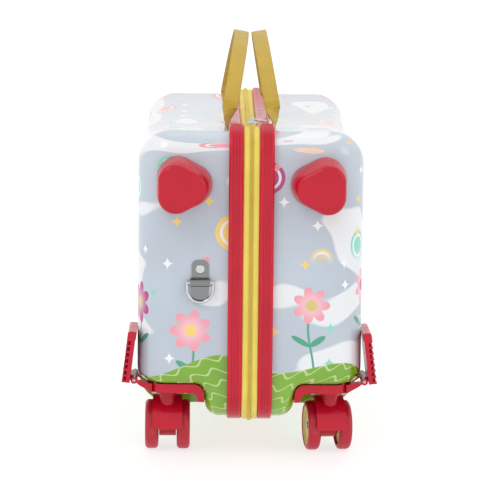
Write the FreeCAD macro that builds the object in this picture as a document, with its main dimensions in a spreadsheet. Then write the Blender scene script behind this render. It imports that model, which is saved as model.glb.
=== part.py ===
"""Ride-on suitcase for a child.

Two moulded half shells meet at a zip in the plane x = 0 and fold apart about their keel.  Each half
has a saddle top, a red rim round its mouth, wells for two swivelling twin-wheel casters, a front grip,
a folding footrest and a webbing handle.  Millimetres, +Z up, the grips face -Y, the floor is z = 0.
"""
import FreeCAD, Part
import math
import os
import re
import Sketcher

# Driving sizes: name, millimetres or degrees, meaning.
SIZES = (
    ("case_length", 440, "shell, front face to rear face"),
    ("half_width", 112.5, "zip plane to the flat side of a shell"),
    ("shell_bottom", 38, "underside of the keel above the floor"),
    ("saddle_low", 316, "lowest point of the saddle above the floor"),
    ("saddle_y", -12, "place of the saddle's lowest point"),
    ("saddle_r", 1239, "radius of the saddle's hollow"),
    ("top_r", 22, "front and rear top corners, seen from the side"),
    ("bottom_r", 36, "front and rear keel corners, seen from the side"),
    ("edge_r", 32, "rounding from the flat side to the ends and top"),
    ("wall", 2.5, "shell wall"),
    ("zip_half", 8, "zip plane to the rim"),
    ("rim_width", 14.5, "rim strip beside the zip"),
    ("rim_proud", 7, "rim above the shell at the ends and top"),
    ("rim_keel_proud", 3, "rim below the shell at the keel"),
    ("rim_round", 2.4, "rounded outer edges of the rim"),
    ("rim_groove", 0.9, "width of a decorative groove in the rim"),
    ("rim_groove_depth", 0.6, "depth of that groove"),
    ("rim_lip", 7, "lip of the rim inside the shell's mouth"),
    ("lip_wall", 2, "thickness of that lip"),
    ("fit_gap", 0.1, "clearance between pieces that are fitted together"),
    ("part_gap", 0.3, "clearance between pieces that move apart"),
    ("tape_proud", 4.5, "zip tape above the shell"),
    ("coil_width", 3, "half of the zip's coil"),
    ("coil_proud", 6.5, "zip coil above the shell"),
    ("coil_round", 1.1, "rounded edge of the coil"),
    ("tape_keel_proud", 3, "zip tape below the shell at the keel"),
    ("coil_keel_proud", 4.5, "zip coil below the shell at the keel"),
    ("zip_split", 0.15, "zip plane to each half of the zip"),
    ("lining_wall", 1, "fabric lining"),
    ("hinge_tape_width", 18, "half of the fabric hinge inside the keel"),
    ("hinge_tape_length", 320, "fabric hinge along the keel"),
    ("hinge_tape_wall", 1, "thickness of the fabric hinge"),
    ("well_x", 45, "zip plane to the inner wall of a wheel well"),
    ("well_top", 74, "ceiling of a wheel well"),
    ("well_length", 100, "wheel well along the case"),
    ("well_r", 10, "corner between a well's ceiling and inner wall"),
    ("well_edge_r", 15, "rounding of the shell's edge round a well"),
    ("base_wall", 9, "thickness of a wheel base"),
    ("base_inset", 9, "wheel base behind the shell's faces"),
    ("base_flange", 18, "height of a wheel base along the well's inner wall"),
    ("flange_round", 2.5, "rounded lower end of that flange"),
    ("base_root_r", 6, "hollow between a wheel base's plate and flange"),
    ("arm_root", 6, "bracket arm inside the wheel base"),
    ("base_corner_r", 22, "outer corner of a wheel base"),
    ("collar_r", 10, "collar round a kingpin"),
    ("caster_x", 82, "zip plane to a kingpin"),
    ("caster_inset", 40, "shell end to a kingpin"),
    ("kingpin_r", 4, "kingpin radius"),
    ("kingpin_seat", 8, "kingpin inside the wheel base"),
    ("pin_end_gap", 1, "kingpin above the bottom of its barrel"),
    ("run_gap", 0.05, "running clearance of a pin in its bore"),
    ("trail", 12, "axle behind the kingpin"),
    ("wheel_r", 25, "wheel radius"),
    ("wheel_width", 13.3, "width of one wheel"),
    ("wheel_spread", 16, "kingpin to the middle of a wheel"),
    ("tread_round", 4, "rounded shoulders of the tread"),
    ("hub_r", 20.5, "hub radius, inside the tread"),
    ("hub_inset", 0.8, "hub face behind the tread's face"),
    ("hub_border", 2, "raised border of a hub"),
    ("hub_hollow", 2.5, "hollow of a hub's inner face"),
    ("hub_dish", 1.6, "hollow of a hub's outer face"),
    ("axle_r", 2, "axle radius"),
    ("axle_head_r", 3.6, "riveted head of an axle"),
    ("axle_head", 1, "thickness of that head"),
    ("yoke_top", 58, "top of a yoke's barrel"),
    ("barrel_r", 8, "barrel round the kingpin"),
    ("barrel_length", 20, "length of that barrel"),
    ("hood_gap", 2, "hood above the wheels"),
    ("hood_wall", 3.5, "thickness of the hood"),
    ("hood_width", 30, "width of the hood"),
    ("hood_back", 62, "rear end of the hood, degrees above the axle"),
    ("hood_round", 4, "lower corners of the hood"),
    ("web_width", 17, "web between the wheels"),
    ("boss_r", 12, "boss round the axle"),
    ("swivel_rest", 7, "degrees that the front right caster stands askew"),
    ("grip_x", 67.6, "zip plane to the middle of a grip"),
    ("grip_z", 276.5, "height of a grip"),
    ("grip_inner", 9, "middle of a grip to the centre of its round towards the zip"),
    ("grip_outer", 5.2, "middle of a grip to the centres of its rounds towards the side"),
    ("grip_spread", 7.4, "those two rounds' centres above and below the middle"),
    ("grip_r", 20, "radius of a grip's rounds at the shell"),
    ("grip_mid_r", 19.3, "radius of a grip's rounds half way out"),
    ("grip_end_r", 16, "radius of a grip's rounds at its end"),
    ("grip_shift", 2.5, "grip's end towards the side and the floor"),
    ("grip_reach", 32, "grip in front of the shell"),
    ("grip_seat", 6, "depth to which a grip's foot wraps the shell"),
    ("grip_round", 4.5, "rounded edge of a grip's end"),
    ("foot_pin_x", 115.5, "zip plane to a footrest's pin"),
    ("foot_pin_z", 77, "height of a footrest's pin"),
    ("foot_pin_r", 1.6, "footrest pin radius"),
    ("foot_knuckle_r", 3.4, "knuckles round a footrest's pin"),
    ("foot_front", 6, "shell front to a footrest"),
    ("foot_length", 60, "footrest along the case"),
    ("foot_height", 50, "footrest above its pin"),
    ("foot_heel", 2, "footrest below its pin"),
    ("foot_offset", 4, "pin to the tread of a footrest"),
    ("foot_wall", 4, "footrest plate"),
    ("foot_rib", 4, "ribs on the underside of a footrest"),
    ("foot_rib_wall", 2, "thickness of those ribs"),
    ("foot_slots", 7, "open slots between those ribs"),
    ("foot_round", 3, "rounded tip of a footrest"),
    ("foot_tab", 0.7, "bumper at the tip of a footrest"),
    ("foot_tab_height", 8, "height of that bumper"),
    ("foot_lean", 7, "degrees that a folded footrest leans to the shell"),
    ("ear_front", 6, "footrest's end to a bracket ear"),
    ("ear_width", 10, "bracket ear along the pin"),
    ("handle_x", 23.7, "zip plane to the foot of a handle"),
    ("handle_z", 335, "hinge line of a handle"),
    ("handle_front", 62, "shell front to a handle's front leg"),
    ("handle_span", 220, "handle from leg to leg"),
    ("handle_height", 86, "handle above its hinge line"),
    ("handle_twist", 19, "folded foot of a handle"),
    ("foot_neck", 1.2, "edge-on end of a handle's foot, below the fold"),
    ("webbing_width", 17, "handle webbing"),
    ("webbing_wall", 1.8, "thickness of the webbing"),
    ("handle_lean", 9.9, "degrees that a handle leans to the other"),
    ("tab_depth", 24, "anchor tab's lower end below the hinge line, before it is cut to the shell"),
    ("tab_gap", 0.6, "anchor tab's upper end below the hinge line"),
    ("clip_x", 50, "zip plane to the tow clip"),
    ("clip_low", 160, "lower end of the clip plate"),
    ("clip_height", 41, "clip plate height"),
    ("clip_width", 17, "clip plate width"),
    ("clip_wall", 1.2, "clip plate thickness"),
    ("clip_round", 6, "rounded corners of the clip plate"),
    ("clip_bar_z", 179, "height of the clip's rolled bar"),
    ("clip_bar_r", 4.2, "radius of that bar"),
    ("clip_bar_length", 20, "length of that bar"),
    ("clip_bar_out", 4.4, "bar in front of the shell"),
    ("rivet_z", 192, "height of the clip's rivet"),
    ("rivet_r", 4.6, "radius of the rivet's head"),
    ("rivet_head", 1.8, "rivet head thickness"),
    ("ring_half", 12.75, "half width of the tow ring"),
    ("ring_drop", 7, "straight sides of the tow ring"),
    ("ring_wire_r", 1.5, "wire of the tow ring"),
    ("slider_length", 12, "zip slider along the zip"),
    ("slider_width", 9, "zip slider across the zip"),
    ("slider_wall", 2.4, "zip slider body"),
    ("bridge_r", 0.9, "bar of the slider's bridge"),
    ("bridge_z", 5, "height of that bar over the coil"),
    ("bridge_length", 8, "bridge along the zip"),
    ("pull_eye_r", 2.1, "eye of the zip pull"),
    ("pull_eye", 3.4, "width of the eye"),
    ("pull_length", 15, "zip pull"),
    ("pull_r", 1.1, "rod of the zip pull"),
    ("pull_dip", 10, "degrees that the pull dips to the rim"),
    ("screw_r", 3.4, "head of a wheel base screw"),
    ("screw_head", 1.6, "thickness of that head"),
    ("screw_shank_r", 1.7, "shank of that screw"),
    ("screw_bite", 2, "shank inside the shell's wall"),
    ("screw_edge", 9, "screw to the edges of its wheel base"),
)

os.makedirs("parts", exist_ok=True)
doc = FreeCAD.newDocument("ride_on_suitcase")
sheet = doc.addObject("Spreadsheet::Sheet", "Sizes")
for row, (alias, value, meaning) in enumerate(SIZES, 1):
    sheet.set(f"A{row}", meaning)
    sheet.set(f"B{row}", str(value))
    sheet.setAlias(f"B{row}", alias)
doc.recompute()

SIZE_NAME = re.compile(r"\b(" + "|".join(alias for alias, _, _ in SIZES) + r")\b")
subparts = []

# Ends of the shell: the whole part, from grips to rear rim, is centred on y = 0.
FRONT = "((grip_reach - rim_proud - case_length) / 2)"
REAR = "((grip_reach - rim_proud + case_length) / 2)"
MOUTH = "(zip_half + rim_width)"
SIDES = (("left", -1), ("right", 1))
ENDS = (("front", FRONT, 1), ("rear", REAR, -1))
PAST = "10"
RIM_GROOVES = (0.3, 0.5, 0.7)
WEB_ANGLES = (165, 135, 105, 75)


def bound(text):
    """An expression with every size's name pointing at its cell."""
    return SIZE_NAME.sub(r"Sizes.\1", text)


def number(text):
    """The value of an expression in the sizes."""
    return float(sheet.evalExpression(text))


def keep(piece, label):
    """Names a finished sub-part, so that it is checked and written."""
    piece.Label = label
    subparts.append(piece)
    return piece


def new_body(name):
    return doc.addObject("PartDesign::Body", name)


def new_sketch(body, role, offset="0"):
    """A sketch on one of the body's own origin planes, moved along that plane's normal."""
    sketch = body.newObject("Sketcher::SketchObject", f"{body.Name}_sketch")
    planes = [plane for plane in body.Origin.OriginFeatures if plane.Role == role]
    sketch.AttachmentSupport = [(planes[0], "")]
    sketch.MapMode = "FlatFace"
    sketch.setExpression("AttachmentOffset.Base.z", bound(offset))
    return sketch


def tie(sketch, kind, where, text):
    """A measured constraint whose value follows an expression in the sizes."""
    index = sketch.addConstraint(Sketcher.Constraint(kind, *where, number(text)))
    sketch.setExpression(f"Constraints[{index}]", bound(text))


def tie_point(sketch, geometry, corner, along, up):
    """Holds a point of the sketch at a place given from the origin."""
    for kind, axis, text in (("DistanceX", -2, along), ("DistanceY", -1, up)):
        if abs(number(text)) < 1e-9:
            sketch.addConstraint(Sketcher.Constraint("PointOnObject", geometry, corner, axis))
        else:
            tie(sketch, kind, (-1, 1, geometry, corner), text)


def polygon(sketch, points):
    """A closed outline of straight lines through points given as pairs of expressions."""
    places = [FreeCAD.Vector(number(along), number(up), 0) for along, up in points]
    first = sketch.GeometryCount
    count = len(places)
    for index in range(count):
        sketch.addGeometry(Part.LineSegment(places[index], places[(index + 1) % count]))
    for index, (along, up) in enumerate(points):
        follower = first + (index + 1) % count
        sketch.addConstraint(Sketcher.Constraint("Coincident", first + index, 2, follower, 1))
        tie_point(sketch, first + index, 1, along, up)


def rectangle(sketch, low_along, low_up, high_along, high_up):
    polygon(sketch, ((low_along, low_up), (high_along, low_up), (high_along, high_up), (low_along, high_up)))


def circle(sketch, along, up, radius):
    centre = FreeCAD.Vector(number(along), number(up), 0)
    index = sketch.addGeometry(Part.Circle(centre, FreeCAD.Vector(0, 0, 1), number(radius)))
    tie(sketch, "Radius", (index,), radius)
    tie_point(sketch, index, 3, along, up)


def extrude(body, sketch, length, kind="Pad", back=False):
    """A pad or pocket along the sketch's normal, or against it."""
    feature = body.newObject(f"PartDesign::{kind}", f"{body.Name}_{kind}")
    feature.Profile = sketch
    feature.Reversed = back
    feature.setExpression("Length", bound(length))
    doc.recompute()
    return feature


def round_edges(body, radius, pick):
    """A fillet on those edges of the body that the test picks."""
    base = body.Tip
    names = [f"Edge{index}" for index, edge in enumerate(base.Shape.Edges, 1) if pick(edge)]
    feature = body.newObject("PartDesign::Fillet", f"{body.Name}_fillet")
    feature.Base = (base, names)
    feature.setExpression("Radius", bound(radius))
    doc.recompute()
    return feature


def edge_at(x=None, y=None, z=None):
    """A test for edges that lie wholly at the given coordinates."""
    def pick(edge):
        box = edge.BoundBox
        spans = ((x, box.XMin, box.XMax), (y, box.YMin, box.YMax), (z, box.ZMin, box.ZMax))
        return all(at is None or max(abs(low - at), abs(high - at)) < 1e-3 for at, low, high in spans)
    return pick


def place(piece, x="0", y="0", z="0", axis=(0, 1, 0), turn="0"):
    """Puts a piece in the frame, turned about an axis through its own origin."""
    piece.Placement = FreeCAD.Placement(
        FreeCAD.Vector(), FreeCAD.Rotation(FreeCAD.Vector(*axis), number(turn)))
    for name, text in (("x", x), ("y", y), ("z", z)):
        piece.setExpression(f"Placement.Base.{name}", bound(text))


def cylinder(name, radius, length, centre, axis):
    """A Part cylinder that starts at a point and runs along an axis."""
    piece = doc.addObject("Part::Cylinder", name)
    piece.setExpression("Radius", bound(radius))
    piece.setExpression("Height", bound(length))
    turn = FreeCAD.Rotation(FreeCAD.Vector(0, 0, 1), FreeCAD.Vector(*axis))
    piece.Placement = FreeCAD.Placement(FreeCAD.Vector(), turn)
    for letter, text in zip("xyz", centre):
        piece.setExpression(f"Placement.Base.{letter}", bound(text))
    return piece


def combine(kind, name, pieces):
    """A Part boolean or compound of several pieces."""
    whole = doc.addObject(f"Part::{kind}", name)
    if kind == "Cut":
        whole.Base, whole.Tool = pieces
    elif kind == "Compound":
        whole.Links = pieces
    else:
        whole.Shapes = pieces
    return whole


# Side outline of the case

def top_corner(end, inward):
    """Centre of a top corner's arc, which meets the saddle's hollow tangentially."""
    along = f"({end} + {inward} * top_r)"
    up = f"(saddle_low + saddle_r - sqrt((saddle_r + top_r) ^ 2 - (saddle_y - {along}) ^ 2))"
    return along, up


def case_outline(sketch, grow, keel_grow):
    """The case seen from the side, grown outwards: ends, keel, rounded corners and the saddle's arc."""
    more = number(grow)
    front = number(FRONT) - more
    rear = number(REAR) + more
    low = number("shell_bottom") - number(keel_grow)
    top_radius = number("top_r") + more
    low_radius = number("bottom_r") + more
    saddle = FreeCAD.Vector(number("saddle_y"), number("saddle_low + saddle_r"), 0)
    hollow = number("saddle_r") - more
    front_top, rear_top = (
        FreeCAD.Vector(*(number(text) for text in top_corner(end, inward)), 0) for _, end, inward in ENDS)
    front_low = FreeCAD.Vector(front + low_radius, low + low_radius, 0)
    rear_low = FreeCAD.Vector(rear - low_radius, low + low_radius, 0)
    lean_front, lean_rear = (
        math.atan2(saddle.y - centre.y, saddle.x - centre.x) for centre in (front_top, rear_top))
    normal = FreeCAD.Vector(0, 0, 1)
    half = math.pi / 2

    def arc(centre, radius, start, end):
        return Part.ArcOfCircle(Part.Circle(centre, normal, radius), start, end)

    def line(y0, z0, y1, z1):
        return Part.LineSegment(FreeCAD.Vector(y0, z0, 0), FreeCAD.Vector(y1, z1, 0))

    first = sketch.GeometryCount
    for shape in (
            line(front, front_low.y, front, front_top.y),
            arc(front_top, top_radius, lean_front, math.pi),
            arc(saddle, hollow, lean_front + math.pi, lean_rear + math.pi),
            arc(rear_top, top_radius, 0, lean_rear),
            line(rear, rear_top.y, rear, rear_low.y),
            arc(rear_low, low_radius, -half, 0),
            line(rear_low.x, low, front_low.x, low),
            arc(front_low, low_radius, math.pi, math.pi + half)):
        sketch.addGeometry(shape)
    front_line, front_arc, hollow_arc, rear_arc, rear_line, rear_foot, keel_line, front_foot = range(
        first, first + 8)
    for one, one_end, other, other_end in (
            (front_line, 2, front_arc, 2), (front_arc, 1, hollow_arc, 1), (hollow_arc, 2, rear_arc, 2),
            (rear_arc, 1, rear_line, 1), (rear_line, 2, rear_foot, 2), (rear_foot, 1, keel_line, 1),
            (keel_line, 2, front_foot, 2), (front_foot, 1, front_line, 1)):
        sketch.addConstraint(Sketcher.Constraint("Tangent", one, one_end, other, other_end))
    sketch.addConstraint(Sketcher.Constraint("Vertical", front_line))
    sketch.addConstraint(Sketcher.Constraint("Vertical", rear_line))
    sketch.addConstraint(Sketcher.Constraint("Horizontal", keel_line))
    for index, text in (
            (front_arc, f"top_r + ({grow})"), (rear_arc, f"top_r + ({grow})"),
            (rear_foot, f"bottom_r + ({grow})"), (front_foot, f"bottom_r + ({grow})"),
            (hollow_arc, f"saddle_r - ({grow})")):
        tie(sketch, "Radius", (index,), text)
    tie_point(sketch, hollow_arc, 3, "saddle_y", "saddle_low + saddle_r")
    tie(sketch, "DistanceX", (-1, 1, front_line, 1), f"{FRONT} - ({grow})")
    tie(sketch, "DistanceX", (-1, 1, rear_line, 1), f"{REAR} + ({grow})")
    tie(sketch, "DistanceY", (-1, 1, keel_line, 1), f"shell_bottom - ({keel_grow})")


def band(body, side, start, width, outer, inner, kind="Pad"):
    """A ring along the case's outline.  Outer and inner give its growth at the ends and at the keel."""
    sketch = new_sketch(body, "YZ_Plane", f"{side} * ({start})")
    case_outline(sketch, *outer)
    case_outline(sketch, *inner)
    inwards = side < 0
    return extrude(body, sketch, width, kind, inwards if kind == "Pad" else not inwards)


# Shells and their linings

def half_block(name, side, inset, start):
    """Half of the case as a solid, drawn in by an inset, with its wheel wells cut away."""
    body = new_body(name)
    sketch = new_sketch(body, "YZ_Plane", f"{side} * ({start})")
    case_outline(sketch, f"-({inset})", f"-({inset})")
    flat_side = f"(half_width - ({inset}))"
    extrude(body, sketch, f"{flat_side} - ({start})", back=side < 0)
    round_edges(body, f"edge_r - ({inset})", edge_at(x=side * number(flat_side)))
    inner_wall = f"(well_x - ({inset}))"
    ceiling = f"(well_top + ({inset}))"
    for _, end, inward in ENDS:
        sketch = new_sketch(body, "XZ_Plane", f"-({end}) + {inward} * {PAST}")
        rectangle(sketch, f"{side} * {inner_wall}", f"shell_bottom - {PAST}",
                  f"{side} * (half_width + {PAST})", ceiling)
        extrude(body, sketch, f"well_length + ({inset}) + {PAST}", "Pocket", back=inward < 0)
    wall_x = side * number(inner_wall)
    round_edges(body, "well_r", edge_at(x=wall_x, z=number(ceiling)))
    round_edges(body, f"well_edge_r - ({inset})", edge_at(x=wall_x, z=number(f"shell_bottom + ({inset})")))
    return body


def hollow_half(label, side, block, inset, start, thickness):
    """A half block less a smaller one: an open moulded or sewn shell."""
    core = half_block(f"{label}_core", side, f"{inset} + {thickness}", f"{start} - 1")
    return keep(combine("Cut", label, (block, core)), label)


shell_blocks = {}
for side_name, side in SIDES:
    shell_blocks[side] = half_block(f"{side_name}_shell_block", side, "0", MOUTH)
    hollow_half(f"{side_name}_shell", side, shell_blocks[side], "0", MOUTH, "wall")
    lining_inset = "wall + part_gap"
    lining_start = f"{MOUTH} + rim_lip + part_gap"
    lining_block = half_block(f"{side_name}_lining_block", side, lining_inset, lining_start)
    hollow_half(f"{side_name}_lining", side, lining_block, lining_inset, lining_start, "lining_wall")


# Rims, zip and hinge tape

def rim(label, side):
    """A strip round a shell's mouth: rounded outer edges, grooves along it and a lip inside the shell."""
    body = new_body(label)
    lip = "-(wall + fit_gap)"
    inside = "-(wall + fit_gap + lip_wall)"
    band(body, side, "zip_half", "rim_width", ("rim_proud", "rim_keel_proud"), (inside, inside))
    for edge_x in ("zip_half", MOUTH):
        round_edges(body, "rim_round", edge_at(x=side * number(edge_x), y=number(f"{FRONT} - rim_proud")))
    band(body, side, MOUTH, "rim_lip", (lip, lip), (inside, inside))
    for share in RIM_GROOVES:
        band(body, side, f"zip_half + rim_width * {share} - rim_groove / 2", "rim_groove",
             ("rim_proud + 1", "rim_keel_proud + 1"),
             ("rim_proud - rim_groove_depth", "rim_keel_proud - rim_groove_depth"), "Pocket")
    return keep(body, label)


def zip_tape(label, side):
    """Half of the zip: flat tape up to the rim and a raised, rounded half of the coil at the zip plane."""
    body = new_body(label)
    inside = ("-wall", "-wall")
    band(body, side, "zip_split", "zip_half - zip_split", ("tape_proud", "tape_keel_proud"), inside)
    band(body, side, "zip_split", "coil_width - zip_split", ("coil_proud", "coil_keel_proud"), inside)
    round_edges(body, "coil_round", edge_at(x=side * number("coil_width"), y=number(f"{FRONT} - coil_proud")))
    return keep(body, label)


def hinge_tape(label, side):
    """Half of the fabric strip that joins the two halves inside the keel."""
    strip = doc.addObject("Part::Box", label)
    strip.setExpression("Length", bound("hinge_tape_width - zip_split"))
    strip.setExpression("Width", bound("hinge_tape_length"))
    strip.setExpression("Height", bound("hinge_tape_wall"))
    place(strip, "zip_split" if side > 0 else "-hinge_tape_width",
          f"({FRONT} + {REAR} - hinge_tape_length) / 2", "shell_bottom + wall + fit_gap + lip_wall")
    return keep(strip, label)


for side_name, side in SIDES:
    rim(f"{side_name}_rim", side)
    zip_tape(f"{side_name}_zip_tape", side)
    hinge_tape(f"{side_name}_hinge_tape", side)


# Wheel bases with their kingpins and screws

BASE_IN = "(well_x + part_gap)"
BASE_OUT = "(half_width - base_inset)"
BASE_UNDER = "(well_top - base_wall)"


def bracket_arms(body, side):
    """Two arms from a front wheel base round the well's edge to the ears of the footrest's pin."""
    first = f"({FRONT} + foot_front + ear_front)"
    last = f"({FRONT} + foot_front + foot_length - ear_front - ear_width)"
    for start in (first, last):
        sketch = new_sketch(body, "XZ_Plane", f"-{start}")
        polygon(sketch, (
            (f"{side} * ({BASE_OUT} - arm_root)", BASE_UNDER),
            (f"{side} * (foot_pin_x - 1.7 * foot_knuckle_r)", "foot_pin_z - 1.5 * foot_knuckle_r"),
            (f"{side} * (foot_pin_x - 0.7 * foot_knuckle_r)", "foot_pin_z - 0.7 * foot_knuckle_r"),
            (f"{side} * foot_pin_x", "foot_pin_z"),
            (f"{side} * ({BASE_OUT} - arm_root)", "well_top - part_gap")))
        extrude(body, sketch, "ear_width", back=True)
        sketch = new_sketch(body, "XZ_Plane", f"-{start}")
        circle(sketch, f"{side} * foot_pin_x", "foot_pin_z", "foot_knuckle_r")
        extrude(body, sketch, "ear_width", back=True)
    sketch = new_sketch(body, "XZ_Plane", f"-{first} + {PAST}")
    circle(sketch, f"{side} * foot_pin_x", "foot_pin_z", "foot_pin_r")
    extrude(body, sketch, f"foot_length + {PAST}", "Pocket")


def wheel_base(label, side, end, inward):
    """A moulded plate under a well's ceiling, turned down along its inner wall, with a kingpin collar."""
    body = new_body(label)
    sketch = new_sketch(body, "XZ_Plane", f"-({end} + {inward} * base_inset)")
    polygon(sketch, (
        (f"{side} * {BASE_OUT}", "well_top"),
        (f"{side} * {BASE_IN}", "well_top"),
        (f"{side} * {BASE_IN}", "well_top - base_flange"),
        (f"{side} * ({BASE_IN} + base_wall * 0.6)", "well_top - base_flange"),
        (f"{side} * ({BASE_IN} + base_wall)", BASE_UNDER),
        (f"{side} * {BASE_OUT}", BASE_UNDER)))
    extrude(body, sketch, "well_length - base_inset - part_gap", back=inward > 0)
    round_edges(body, "well_r + part_gap", edge_at(x=side * number(BASE_IN), z=number("well_top")))
    round_edges(body, "base_root_r", edge_at(x=side * number(f"{BASE_IN} + base_wall"), z=number(BASE_UNDER)))
    round_edges(body, "flange_round", edge_at(
        x=side * number(f"{BASE_IN} + base_wall * 0.6"), z=number("well_top - base_flange")))
    round_edges(body, "base_corner_r", edge_at(
        x=side * number(BASE_OUT), y=number(f"{end} + {inward} * base_inset")))
    pin_x = f"{side} * caster_x"
    pin_y = f"{end} + {inward} * caster_inset"
    sketch = new_sketch(body, "XY_Plane", "yoke_top + part_gap")
    circle(sketch, pin_x, pin_y, "collar_r")
    extrude(body, sketch, f"{BASE_UNDER} - yoke_top - part_gap")
    sketch = new_sketch(body, "XY_Plane", "yoke_top")
    circle(sketch, pin_x, pin_y, "kingpin_r")
    extrude(body, sketch, f"{BASE_UNDER} + kingpin_seat - yoke_top", "Pocket", back=True)
    if inward > 0:
        bracket_arms(body, side)
    return keep(body, label)


def base_screw(name, x, y):
    """A screw up through a wheel base into the shell: a flat head and a shank."""
    up = (0, 0, 1)
    head = cylinder(f"{name}_head", "screw_r", "screw_head", (x, y, f"{BASE_UNDER} - screw_head"), up)
    shank = cylinder(f"{name}_shank", "screw_shank_r", "base_wall + screw_bite", (x, y, BASE_UNDER), up)
    return combine("MultiFuse", name, [head, shank])


for side_name, side in SIDES:
    kingpins = []
    screws = []
    for end_name, end, inward in ENDS:
        corner = f"{end_name}_{side_name}"
        wheel_base(f"{corner}_wheel_base", side, end, inward)
        foot = "yoke_top - barrel_length + pin_end_gap"
        kingpins.append(cylinder(
            f"{corner}_kingpin", "kingpin_r", f"{BASE_UNDER} + kingpin_seat - ({foot})",
            (f"{side} * caster_x", f"{end} + {inward} * caster_inset", foot), (0, 0, 1)))
        for along in ("base_inset + screw_edge", "well_length - screw_edge"):
            for across in (f"({BASE_IN} + base_wall + screw_edge)", f"({BASE_OUT} - screw_edge)"):
                screws.append(base_screw(
                    f"{corner}_screw_{len(screws)}", f"{side} * {across}", f"{end} + {inward} * ({along})"))
    keep(combine("Compound", f"{side_name}_kingpins", kingpins), f"{side_name}_kingpins")
    keep(combine("Compound", f"{side_name}_screws", screws), f"{side_name}_screws")


# Casters: each yoke, axle and wheel is drawn about its own origin and placed round its kingpin

HOOD_IN = "(wheel_r + hood_gap)"
HOOD_OUT = "(wheel_r + hood_gap + hood_wall)"


def hood_section(sketch):
    """A ring sector over the wheels, from its rear end down to the axle's height in front."""
    centre = FreeCAD.Vector(number("trail"), number("wheel_r"), 0)
    back = math.radians(number("hood_back"))
    arcs = []
    for radius in (HOOD_OUT, HOOD_IN):
        ring = Part.Circle(centre, FreeCAD.Vector(0, 0, 1), number(radius))
        index = sketch.addGeometry(Part.ArcOfCircle(ring, back, math.pi))
        tie(sketch, "Radius", (index,), radius)
        tie_point(sketch, index, 3, "trail", "wheel_r")
        tie(sketch, "DistanceX", (-1, 1, index, 1), f"trail + {radius} * cos(hood_back)")
        tie(sketch, "DistanceY", (-1, 1, index, 2), "wheel_r")
        arcs.append(index)
    for corner in (1, 2):
        start, end = (sketch.getPoint(index, corner) for index in arcs)
        line = sketch.addGeometry(Part.LineSegment(start, end))
        sketch.addConstraint(Sketcher.Constraint("Coincident", line, 1, arcs[0], corner))
        sketch.addConstraint(Sketcher.Constraint("Coincident", line, 2, arcs[1], corner))


def yoke(label):
    """A caster's yoke: a hood over both wheels, a web with the axle's boss and a barrel for the kingpin."""
    body = new_body(label)
    sketch = new_sketch(body, "YZ_Plane", "-hood_width / 2")
    hood_section(sketch)
    extrude(body, sketch, "hood_width")
    half_hood = number("hood_width / 2")
    low = number("wheel_r")
    left_corner = edge_at(x=-half_hood, z=low)
    right_corner = edge_at(x=half_hood, z=low)
    round_edges(body, "hood_round", lambda edge: left_corner(edge) or right_corner(edge))
    middle = f"({HOOD_IN} + hood_wall / 2)"
    sketch = new_sketch(body, "YZ_Plane", "-web_width / 2")
    rim_points = [(f"trail + {middle} * cos({angle})", f"wheel_r + {middle} * sin({angle})")
                  for angle in WEB_ANGLES]
    polygon(sketch, [("trail - boss_r", "wheel_r")] + rim_points + [("trail + boss_r", "wheel_r")])
    extrude(body, sketch, "web_width")
    sketch = new_sketch(body, "YZ_Plane", "-web_width / 2")
    circle(sketch, "trail", "wheel_r", "boss_r")
    extrude(body, sketch, "web_width")
    sketch = new_sketch(body, "XY_Plane", "yoke_top - barrel_length")
    circle(sketch, "0", "0", "barrel_r")
    extrude(body, sketch, "barrel_length")
    sketch = new_sketch(body, "XY_Plane", "yoke_top")
    circle(sketch, "0", "0", "kingpin_r + run_gap")
    extrude(body, sketch, "barrel_length", "Pocket")
    sketch = new_sketch(body, "YZ_Plane", "web_width / 2")
    circle(sketch, "trail", "wheel_r", "axle_r")
    extrude(body, sketch, "web_width", "Pocket")
    return keep(body, label)


def turned(label, points):
    """A piece turned about its own X axis from points given as distance along it and radius."""
    body = new_body(label)
    sketch = new_sketch(body, "XZ_Plane")
    polygon(sketch, points)
    feature = body.newObject("PartDesign::Revolution", f"{label}_turning")
    feature.Profile = sketch
    feature.ReferenceAxis = (sketch, ["H_Axis"])
    feature.Angle = 360
    doc.recompute()
    return keep(body, label)


WHEEL_FACE = "(wheel_width / 2)"
HUB_FACE = f"({WHEEL_FACE} - hub_inset)"
HUB_FLOOR = f"({HUB_FACE} - hub_dish)"
HUB_BORE = "axle_r + run_gap"


def tyre(label):
    """A wheel's tread ring with rounded shoulders."""
    ring = turned(label, (
        (f"-{WHEEL_FACE}", "hub_r"), (WHEEL_FACE, "hub_r"),
        (WHEEL_FACE, "wheel_r"), (f"-{WHEEL_FACE}", "wheel_r")))
    radius = number("wheel_r")
    round_edges(ring, "tread_round", lambda edge: edge.BoundBox.XLength < 1e-3
                and abs(edge.BoundBox.ZLength - 2 * radius) < 1e-3)
    return ring


def hub(label):
    """A wheel's hub: a dished outer face with a raised border and an inner boss against the yoke."""
    return turned(label, (
        (f"-{WHEEL_FACE}", HUB_BORE), (HUB_FLOOR, HUB_BORE), (HUB_FLOOR, "hub_r - 2 * hub_border"),
        (HUB_FACE, "hub_r - hub_border"), (HUB_FACE, "hub_r"), (f"-{WHEEL_FACE} + hub_hollow", "hub_r"),
        (f"-{WHEEL_FACE} + hub_hollow", "boss_r"), (f"-{WHEEL_FACE}", "boss_r - hub_hollow")))


def axle(label):
    """A caster's axle, with a riveted head in the dish of each hub."""
    neck = f"(wheel_spread + {HUB_FLOOR} + fit_gap)"
    tip = f"({neck} + axle_head)"
    return turned(label, (
        (f"-{tip}", "0"), (tip, "0"), (tip, "axle_head_r"), (neck, "axle_head_r"), (neck, "axle_r"),
        (f"-{neck}", "axle_r"), (f"-{neck}", "axle_head_r"), (f"-{tip}", "axle_head_r")))


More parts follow.
